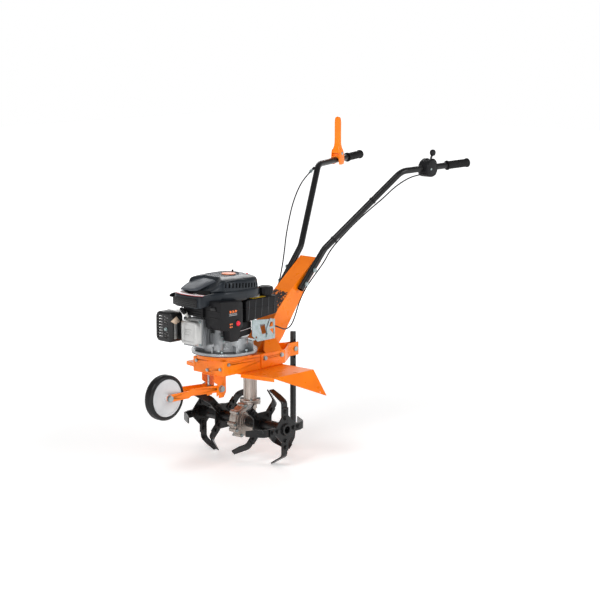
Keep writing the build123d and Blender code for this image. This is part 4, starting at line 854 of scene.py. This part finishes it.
def build_tank():
    outline = ((-79, 528), (-72, 525), (0, 531), (74, 538), (82, 545), (82, 596), (76, 604),
            (-72, 604), (-79, 598))
    mesh = prism(outline, at(-20, 0, 0), *SIDE, 118)
    piece = new_piece("fuel_tank_body", mesh, "plastic")
    bevelled(piece, 5.0, 4, 20)
    clear = round_room(70, 500)
    cut(piece, [clear])
    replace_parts(piece, "fuel_tank")
    ribs = []
    for index in range(5):
        y = -70 + index * 33
        floor = 531 + (y + 79) * 0.075
        outline = ((0, 0), (3.2, 0), (9.2, 68 - index), (6.0, 68 - index))
        ribs.append(prism(outline, at(97.2, y, floor), *SIDE, 2.2))
    # The ribs take the lighter grey, a painted highlight along each rib.
    ribbed = new_piece("tank_ribs", ribs, "rib")
    bevelled(ribbed, 1.0, 3)
    seam = prism(((-81, 0), (83, 0), (84, 2.6), (-82, 2.6)), at(-21, 0, 569), *SIDE, 120)
    seam_piece = new_piece("tank_seam", seam, "plastic")
    bevelled(seam_piece, 1.0, 2)
    cut(seam_piece, [round_room(70, 500)])
    label = prism(rect(26, 70), at(64, -40, 604.1), *TOP, 0.5)
    new_piece("tank_label", label, "yellow")
    marks = []
    for index in range(4):
        marks.append(prism(rect(18, 3), at(68, -22 + index * 8, 604.5), *TOP, 0.3))
    new_piece("tank_label_bars", marks, "gloss")
    neck = ((0, 600), (22, 600), (22, 612), (18, 613), (18, 622), (0, 622))
    new_piece("tank_neck", lathe(neck, at(68, 50, 0), Z), "plastic")


def build_fuel_cap():
    low, high, centre, size = box_of("fuel_cap")
    steps, lobes = 144, 18
    rings = []
    levels = ((0.94, 0.0), (1.0, 0.03), (1.0, 0.62), (0.97, 0.74), (0.86, 0.88), (0.62, 0.97),
            (0.3, 1.0))
    for scale, level in levels:
        ring = []
        for step in range(steps):
            turn = math.tau * step / steps
            flute = 0.035 * (0.5 + 0.5 * cos(lobes * turn)) * (1.0 if 0.0 < level < 0.8 else 0.3)
            radius = 29.0 * scale * (1 - flute)
            ring.append(Vector((centre.x + radius * cos(turn) * MM,
                    centre.y + radius * sin(turn) * MM, low.z + size.z * level * MM)))
        rings.append(ring)
    piece = new_piece("fuel_cap_cover", loft(rings), "plastic", "tank_cap")
    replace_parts(piece, "fuel_cap")
    bar = prism(((-17, -4.5), (17, -4.5), (17, 4.5), (-17, 4.5)),
            Vector((centre.x, centre.y, high.z - 1.2 * MM)), *TOP, 1.1)
    bevelled(new_piece("cap_bar", bar, "plastic", "tank_cap"), 0.8, 2)


def build_filter():
    outline = ((-238, 530), (-230, 517), (-196, 514), (-190, 480), (-184, 472), (-152, 472),
            (-146, 478), (-138, 514), (-128, 522), (-128, 606), (-136, 613), (-236, 619),
            (-238, 617))
    mesh = prism(outline, at(60, 0, 0), *SIDE, 69)
    piece = new_piece("filter_cover", mesh, "plastic")
    bevelled(piece, 3.0, 3, 20)
    clear = round_room(82, 594)
    socket = lathe(rect(12.5, 30), at(119, -152, 535), X)
    underside = slab((50, 96), (-210, -120), (460, 514))
    cut(piece, [clear, socket, underside])
    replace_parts(piece, "air_filter_box")
    base = prism(((-236, 524), (-228, 520), (-132, 520), (-130, 524), (-130, 600), (-232, 606)),
            at(53, 0, 0), *SIDE, 7.4)
    base_piece = bevelled(new_piece("filter_base", base, "plastic"), 2.0, 2)
    cut(base_piece, [round_room(84, 590)])
    snout = prism(((36, 590), (36, 560), (40, 554), (60, 518), (74, 516), (74, 606), (50, 606)),
            at(0, -130, 0), *FRONT, 106)
    snout_piece = bevelled(new_piece("filter_snout", snout, "plastic"), 3.0, 3, 20)
    cut(snout_piece, [round_room(84, 500)])
    lines = []
    for z in (560, 583):
        lines.append(prism(rect(62, 2.0), at(64, -240.2, z), *FRONT, -2.6))
    lines.append(prism(((0, 0), (30, 0), (26, 14), (4, 14)), at(80, -241.5, 586), *FRONT, -4))
    ledges = new_piece("filter_ledges", lines, "gloss")
    bevelled(ledges, 0.8, 2)
    ring = ((10.6, -1), (13.6, -1), (14.4, 0.5), (13.8, 2.0), (11.4, 2.2), (10.6, 1.2), (10.6, -1))
    new_piece("primer_ring", lathe(ring, at(129, -152, 535), X), "gloss")
    chevrons = []
    for index in range(3):
        y = -195 + index * 13
        outline = ((0, 0), (9, 0), (13, 4), (9, 8), (0, 8), (4, 4))
        chevrons.append(prism(outline, at(129.0, y, 576), *SIDE, 0.5))
    new_piece("filter_mark", chevrons, "orange_film")
    bars = []
    for index in range(2):
        bars.append(prism(rect(38, 3), at(129.0, -195, 570.5 - index * 5), *SIDE, 0.5))
    new_piece("filter_mark_bars", bars, "grey_film")
    dots = []
    for y, z in ((-190, 536), (-182, 536), (-190, 526), (-182, 526)):
        dots.append(lathe(rect(2.8, 0.5), at(129.0, y, z), X, 20))
    new_piece("filter_icons", dots, "orange_film")
    build_primer()


def build_primer():
    low, _, middle, size = box_of("primer_button")
    length = size.x
    profile = ((0, 0), (9.8, 0), (9.8, length - 6), (9.2, length - 3.4), (7.6, length - 1.4),
            (4.5, length - 0.3), (0, length))
    dome = lathe(profile, Vector((low.x, middle.y, middle.z)), X, 48)
    piece = new_piece("primer_bulb", dome, "red", "primer")
    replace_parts(piece, "primer_button")


# ---------------- valve cover, plug, muffler guard


def rounded_rect(half_w, half_h, radius, steps=6):
    """The outline of a rectangle with round corners, in mm about its middle."""
    points = []
    for cx, cy, first in ((1, 1, 0), (-1, 1, 90), (-1, -1, 180), (1, -1, 270)):
        for step in range(steps + 1):
            turn = radians(first + 90 * step / steps)
            points.append((cx * (half_w - radius) + radius * cos(turn),
                    cy * (half_h - radius) + radius * sin(turn)))
    return points


def build_valve_cover():
    low, high, middle, size = box_of("valve_cover")
    half_w, half_h, deep = size.x / 2, size.z / 2, size.y

    def ring(inset, level, radius):
        outline = rounded_rect(half_w - inset, half_h - inset, radius)
        return [Vector((middle.x + x * MM, high.y - level * MM, middle.z + z * MM))
                for x, z in outline]

    levels = ((0, 0, 12), (0, 4, 12), (2.5, 5, 11), (3, 8, 11), (4, deep - 6, 11),
            (5.5, deep - 2, 10), (9, deep - 0.3, 9), (13, deep, 8), (16, deep - 1.4, 6),
            (19, deep - 1.6, 5))
    mesh = loft([ring(*level) for level in levels])
    piece = new_piece("rocker_cover", mesh, "cover")
    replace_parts(piece, "valve_cover")
    bars = []
    for index in range(3):
        outline = ((0, 0), (34 - index * 6, 0), (34 - index * 6, 3), (0, 3))
        start = Vector((middle.x - 20 * MM, low.y + 2.2 * MM, middle.z + (8 - index * 9) * MM))
        bars.append(prism(outline, start, (1, 0, 0.08), (-0.08, 0, 1), 1.8))
    raised = new_piece("rocker_cover_bars", bars, "cover")
    bevelled(raised, 0.5, 2)
    screws = []
    for x, z in ((-1, 1), (1, 1), (-1, -1), (1, -1)):
        centre = Vector((middle.x + x * (half_w - 6) * MM, high.y - 5.4 * MM,
                middle.z + z * (half_h - 6) * MM))
        screws.append(hex_head(centre, -Y, 7, 3.5))
    new_piece("rocker_cover_screws", screws, "zinc")


def build_plug_cap():
    low, high, middle, _ = box_of("plug_cap")
    seat = Vector((middle.x, high.y - 6 * MM, low.z + 6 * MM))
    axis = Vector((0, -1, 1)).normalized()
    profile = ((5.1, 0), (8.0, 0), (8.8, 2), (8.2, 6), (8.2, 14), (7.0, 19), (6.2, 24), (5.0, 25.5),
            (0, 25.5), (0, 14), (5.1, 12), (5.1, 0))
    boot = lathe(profile, seat, axis, 40)
    lead = wire_mesh(((-30, -272, 590), (-28, -268, 597), (-20, -254, 604), (-12, -240, 608)),
            3.6, 12)
    piece = new_piece("plug_boot", [boot, lead], "rubber")
    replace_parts(piece, "plug_cap")
    tag = prism(((-309, 540), (-280, 555), (-262, 534), (-286, 527)), at(-49.6, 0, 0), *SIDE, 0.8)
    new_piece("plug_tag", tag, "tag")
    shroud = slab((-52, 46), (-246, -150), (556.5, 602))
    bevelled(new_piece("cylinder_shroud", shroud, "plastic"), 4.0, 3)
    ribs = [prism(rect(86, 2.4), at(-46, -246, 565 + row * 9), *FRONT, 1.6) for row in range(4)]
    new_piece("cylinder_shroud_ribs", ribs, "plastic")
    outline = ((-112, 470), (-48, 474), (-38, 482), (-38, 522), (-86, 526), (-112, 500))
    side = prism(outline, at(62, 0, 0), *SIDE, 22)
    bevelled(new_piece("side_baffle", side, "plastic"), 3.0, 3)


def build_muffler_guard():
    x, y, z = (-137, -52), (-302, -248), (460, 568)
    wide, tall, deep = (x[1] - x[0]) / 2, (z[1] - z[0]) / 2, y[1] - y[0]

    def ring(inset, back, radius):
        outline = rounded_rect(wide - inset, tall - inset, radius)
        return [at((x[0] + x[1]) / 2 + a, y[0] + back, (z[0] + z[1]) / 2 + b) for a, b in outline]

    levels = ((0.5, deep, 18), (0, deep - 2, 18), (0, 8, 18), (1.0, 4, 18), (3.5, 1.2, 17),
            (8, 0, 14), (24, 0, 9))
    mesh = loft([ring(*level) for level in levels], cap_start=False)
    piece = new_piece("guard_shell", mesh, "black")
    walled(piece, 1.8)
    slots = []
    for row in range(8):
        bottom = z[0] + 13 + row * 10.4
        lean = 4.0
        left = ((0, 0), (27, lean), (27, lean + 5.4), (0, 5.4))
        slots.append(prism(left, at(x[0] + 9, y[0] - 4, bottom), *FRONT, -16))
        right = ((0, 0), (20, -lean), (20, 5.4 - lean), (0, 5.4))
        if row not in (3, 4):
            slots.append(prism(right, at(x[0] + 46, y[0] - 4, bottom + lean), *FRONT, -16))
        side = rect(30, 5.4)
        slots.append(prism(side, at(x[0] - 6, y[0] + 17, bottom), *SIDE, 16))
    cut(piece, slots)
    window = prism(rect(16, 68), at(x[1] - 8, -289, 472), *SIDE, 20)
    cut(piece, [window])
    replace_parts(piece, "muffler_guard")
    bolt = hex_head(at(x[0] + 56, y[0] - 1.0, z[0] + 48), -Y, 9, 5)
    new_piece("guard_bolt", bolt, "zinc")
    outline = ((-124, -282), (-80, -290), (-14, -304), (-40, -243), (-118, -246))
    shield = prism(outline, at(0, 0, 578), *TOP, 1.4)
    strip = prism(rect(28, 78), at(x[1] - 5, -294, 468), *SIDE, 1.4)
    bevelled(new_piece("heat_shield", [shield, strip], "bright"), 0.4, 1)


# ---------------- wheel


def build_wheel():
    centre = Vector(JOINTS["wheel_spin"]["pos_m"])
    size = box_of("wheel_tyre")[3]
    outer, half = size.z / 2, size.x / 2
    profile = [(outer - 14, -half + 1.5), (outer - 11, -half)]
    profile += [(outer - 6, -half + 0.6), (outer - 2.6, -half + 3), (outer - 1.0, -half + 6)]
    for groove in (-6.0, 0.0, 6.0):
        profile += [(outer - 0.2, groove - 1.6), (outer - 1.6, groove - 0.8),
                (outer - 1.6, groove + 0.8), (outer - 0.2, groove + 1.6)]
    profile += [(level[0], -level[1]) for level in reversed(profile[:5])]
    profile += [(outer - 15.5, half - 3), (outer - 15.5, -half + 3), (outer - 14, -half + 1.5)]
    tyre = lathe(profile, centre, X, 128)
    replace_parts(new_piece("tyre", tyre, "tyre", "front_wheel"), "wheel_tyre")
    rim = outer - 14.6
    disc = [(6.1, -22), (11, -22), (12, -21), (12.6, -12), (22, -10.6), (24, -11.8), (48, -13.6),
            (52, -15.0), (58, -15.0), (60, -17.2), (rim - 1.5, -17.4), (rim, -16)]
    disc += [(radius, -level) for radius, level in reversed(disc)]
    disc.append(disc[0])
    wheel = lathe(disc, centre, X, 128)
    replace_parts(new_piece("wheel_disc", wheel, "white", "front_wheel"), "wheel_rim")


# ---------------- hand controls


HANDLE_END, HANDLE_ELBOW = (275, 959, 1035), (212, 640, 1020)
BAR_RADIUS = 12.2  # the handlebar's tube, with a little air


def handle_line(side):
    """The grip's outer end and the direction of the handlebar's upper run, pointing back out."""
    end, elbow = (at(side * x, y, z) for x, y, z in (HANDLE_END, HANDLE_ELBOW))
    return end, (end - elbow).normalized()


def build_grips():
    grips = []
    for side in (-1, 1):
        end, along = handle_line(side)
        profile = [(BAR_RADIUS, -104), (17.6, -104), (18.5, -103), (18.5, -100), (17.4, -98.6),
                (15.0, -97.4)]
        level = -96.0
        while level < -8:
            profile += [(14.7, level), (15.5, level + 0.9), (15.5, level + 2.3),
                    (14.7, level + 3.2)]
            level += 4.4
        profile += [(15.4, -6), (17.2, -4.6), (17.8, -2.4), (17.4, 1.6), (15.6, 3.4), (10, 4),
                (0, 4), (0, 0.2), (BAR_RADIUS, 0.2), (BAR_RADIUS, -104)]
        grips.append(lathe(profile, end, along, 48))
    piece = new_piece("hand_grips", grips, "rubber")
    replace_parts(piece, "grips")


def build_clutch_lever():
    """A pressed channel: two ears on the pin, drawn up into a long rounded handle."""
    pivot = Vector(JOINTS["clutch_squeeze"]["pos_m"])
    axis = Vector(JOINTS["clutch_squeeze"]["axis"])
    top = (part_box("clutch_lever")[1].z - pivot.z) / MM
    rows = ((2, 20.0, -17, 14), (14, 18.5, -14, 10), (26, 14.5, -11, 8), (38, 12.6, -9, 7),
            (60, 12.4, -8, 7), (top - 22, 12.4, -8, 7), (top - 10, 11.4, -8, 6.6),
            (top - 3, 8.4, -7, 5.4), (top, 3.0, -5, 3))
    rings = []
    for level, half, front, back in rows:
        ring = []
        for x, y in ((-1, back), (-1, front + 3), (-0.8, front + 0.6), (-0.5, front), (0.5, front),
                (0.8, front + 0.6), (1, front + 3), (1, back)):
            ring.append(pivot + Vector((x * half, y, level)) * MM)
        inner = max(half - 2.0, 1.0)
        for x, y in ((1, back), (1, front + 4), (0.6, front + 2.2), (-0.6, front + 2.2),
                (-1, front + 4), (-1, back)):
            ring.append(pivot + Vector((x * inner, min(y, back), level)) * MM)
        rings.append(ring)
    parts = [loft(rings)]
    ear = ((-20, -43), (-4, -45), (14, -43), (19, -30), (16, -4), (12, 8), (8, 16), (-13, 16),
            (-17, 2), (-19, -16), (-22, -22))
    for x in (-20.0, 17.0):
        parts.append(prism(ear, pivot + X * x * MM, *SIDE, 3.0))
    whole = join_meshes(parts)
    splay = Matrix.Rotation(math.atan2(-axis.y, -axis.x), 4, "Z")
    whole.transform(Matrix.Translation(pivot) @ splay @ Matrix.Translation(-pivot))
    piece = new_piece("clutch_handle", whole, "orange", "clutch")
    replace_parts(piece, "clutch_lever")
    bevelled(piece, 0.8, 3, 35)
    heads = []
    for side in (-1, 1):
        out = axis * side
        heads.append(lathe(((0, 0), (6, 0), (6, 1.4), (4.4, 2.6), (0, 3.0)),
                pivot + out * 20.2 * MM, out, 32))
    new_piece("clutch_pin_heads", heads, "zinc")


def build_throttle():
    low, high, middle, size = box_of("throttle_box")
    pivot = Vector(JOINTS["throttle_turn"]["pos_m"])
    outline = ((-33, -10), (-31, 12), (-20, 27), (-2, 37), (12, 37), (25, 27), (31, 8), (30, -12),
            (21, -27), (4, -33), (-16, -32), (-29, -25))
    mesh = prism(outline, Vector((low.x, middle.y, middle.z)), *SIDE, size.x)
    piece = new_piece("throttle_case", mesh, "plastic")
    bevelled(piece, 6.0, 5, 20)
    end, along = handle_line(1)
    tube = lathe(rod(BAR_RADIUS, -300, 20), end, along, 48)
    lever_room = prism(((-12, 13.6), (27, 13.6), (30, 60), (-12, 60)),
            Vector((pivot.x - 7 * MM, middle.y, middle.z)), *SIDE, 16)
    cut(piece, [tube, lever_room])
    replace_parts(piece, "throttle_box")
    seam = lathe(((24.0, 0), (24.8, 0), (24.8, 1), (24.0, 1), (24.0, 0)),
            Vector((high.x - 0.4 * MM, middle.y + 1 * MM, middle.z)), X, 48)
    screw = lathe(((0, 0), (4.6, 0), (4.6, 1.0), (3.6, 1.9), (0, 2.2)),
            Vector((high.x - 0.6 * MM, middle.y - 10 * MM, middle.z - 2 * MM)), X, 28)
    new_piece("throttle_seam", seam, "gloss")
    new_piece("throttle_screw", screw, "zinc")
    arm = prism(((-4, 0), (4, 0), (20, 28), (12, 32)), pivot, *SIDE, 4.0)
    drum = lathe(((0, -12), (3, -12), (3, -1.5), (6.5, -1.5), (6.5, 5.5), (3, 5.5), (3, 16),
            (0, 16)), pivot, X, 32)
    knob_profile = [(0, -5), (9, -5), (11.6, -3.6), (12.5, -1), (12.5, 5), (11.6, 7.6), (9, 9),
            (0, 9)]
    knob = lathe(knob_profile, pivot + Vector((0, 18, 35)) * MM, X, 40)
    lever = new_piece("throttle_thumb", [arm, drum, knob], "plastic", "throttle")
    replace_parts(lever, "throttle_lever")
    bevelled(lever, 0.6, 2)


# ---------------- starter, cables, small fittings


def build_starter():
    low, _, middle, size = box_of("starter_handle")
    grip_x = low.x + 8 * MM
    rings = []
    for share in (0.0, 0.06, 0.2, 0.5, 0.8, 0.94, 1.0):
        swell = sin(math.pi * min(max(share, 0.04), 0.96)) ** 0.35
        y = low.y + size.y * MM * share
        outline = rounded_rect(7.6 * swell, 8.6 * swell, 6.0 * swell, 5)
        rings.append([Vector((grip_x + a * MM, y, middle.z + b * MM)) for a, b in outline])
    handle = loft(rings)
    rope = lathe(rect(2.2, 46), Vector((low.x + 12 * MM, middle.y, middle.z)), X, 16)
    piece = new_piece("starter_grip", [handle, rope], "plastic", "starter")
    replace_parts(piece, "starter_handle")


CLUTCH_ROUTE = ((-198, 590, 1003), (-190, 532, 973), (-178, 482, 930), (-165, 440, 880),
        (-150, 405, 826), (-134, 372, 770), (-115, 343, 716), (-98, 313, 662), (-85, 283, 610),
        (-74, 252, 566), (-60, 226, 538), (-46, 206, 520))
THROTTLE_ROUTE = ((238, 738, 1004), (232, 690, 1001), (224, 644, 987), (206, 602, 960),
        (182, 572, 923), (154, 540, 888), (121, 488, 837), (91, 439, 781), (65, 404, 732),
        (46, 389, 684), (30, 352, 636), (24, 306, 588), (30, 266, 540), (44, 232, 497),
        (60, 192, 468), (80, 140, 466), (94.2, 101, 480), (94.2, 72.6, 491))
CABLE_RADIUS = 2.5


def build_cables():
    for name, node, route, length in (("clutch_sheath", "clutch_cable", CLUTCH_ROUTE, 0.647),
            ("throttle_sheath", "throttle_cable", THROTTLE_ROUTE, 0.964)):
        points = [at(*point) for point in route]
        curve = spline_curve(name, points, CABLE_RADIUS * MM)
        curve.materials.append(LOOK["sheath"])
        piece = placed(name, curve)
        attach(piece, "machine")
        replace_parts(piece, node)


def build_column_details():
    """The dark film on the column's front, and the weld beads at its foot and on the base plate."""
    foot, top = (142.0, 533.0), (214.0, 600.0)
    lean = Vector((0, top[0] - foot[0], top[1] - foot[1])).normalized()
    outline = ((-37, 6), (37, 6), (37, 78), (34, 84), (-36, 92), (-37, 90))
    mesh = prism(outline, at(0, *foot), X, lean, 0.6)
    out = X.cross(lean).normalized()
    mesh.transform(Matrix.Translation(out * -0.1 * MM))
    new_piece("column_film", mesh, "dark_film")
    beads = []
    for side in (-1, 1):
        beads.append(weld_bead(((side * 78, 36, 392.5), (side * 78, 112, 392.5)), 2.2))
        beads.append(weld_bead(((side * 41, 74, 437), (side * 41, 120, 437)), 2.0))
    new_piece("column_welds", beads, "orange")


AXLE_Z, WELD_RADIUS = 138, 22


def build_hub_welds():
    """The rings of weld where the cross plates sit on the hub tubes."""
    beads = []
    for plate_x in (97.0, 211.0):
        for side in (-1, 1):
            for turn in range(0, 360, 12):
                angle = radians(turn)
                centre = at(side * (plate_x + 5.4), WELD_RADIUS * sin(angle),
                        AXLE_Z + WELD_RADIUS * cos(angle))
                beads.append(lathe(((0, -2.2), (1.6, -1.6), (2.3, 0), (1.6, 1.6), (0, 2.2)), centre,
                        X, 8))
    new_piece("hub_welds", beads, "tine", "rotor")


def build_engine_details():
    """Carburettor screws, the governor spring, the link rod and the fuel pipe."""
    turns, start, end = 16, at(92, 46, 506), at(92, -16, 500)
    run, points = end - start, []
    _, side, other = around(run)
    for step in range(turns * 8 + 1):
        share = step / (turns * 8)
        angle = math.tau * turns * share
        points.append(start + run * share + (side * cos(angle) + other * sin(angle)) * 3.2 * MM)
    spring = curve_mesh(spline_curve("spring", points, 0.6 * MM, 3))
    new_piece("governor_spring", spring, "zinc")
    link = wire_mesh(((92, -16, 500), (92, -40, 502), (90, -90, 496), (88, -150, 492),
            (86, -178, 488)), 1.3)
    new_piece("link_rod", link, "steel")
    pipe = wire_mesh(((70, -76, 534), (72, -100, 520), (74, -140, 500), (74, -176, 484),
            (72, -196, 476)), 3.4)
    new_piece("fuel_pipe", pipe, "rubber")
    screws = [hex_head(at(97, -200, 488), X, 7, 4), hex_head(at(97, -190, 472), X, 6, 3),
            hex_head(at(77, -197, 438), -Z, 9, 5)]
    new_piece("carburettor_screws", screws, "zinc")
    bolts, circle = [], 102
    for angle in (-50, 5, 60, 120, 175, 230):
        turn = radians(angle)
        centre = at(circle * cos(turn), CRANK_Y + circle * sin(turn), 423)
        bolts.append(hex_head(centre, Z, 10, 6))
    new_piece("flange_bolts", bolts, "zinc")
    ferrule = lathe(((2.6, -12), (5, -12), (5, -4), (6.5, -4), (6.5, 2), (4, 2), (4, 10), (2.6, 10),
            (2.6, -12)), at(-196.5, 578, 997), (0.15, -0.9, -0.45), 24)
    new_piece("cable_ferrule", ferrule, "zinc")


# ---------------- making

make_camera()
LOOK = make_materials()
make_studio()
build_cables()
dress_cad_nodes()
build_cowl()
build_tank()
build_fuel_cap()
build_filter()
build_valve_cover()
build_plug_cap()
build_muffler_guard()
build_wheel()
build_grips()
build_clutch_lever()
build_throttle()
build_starter()
build_column_details()
build_hub_welds()
build_engine_details()
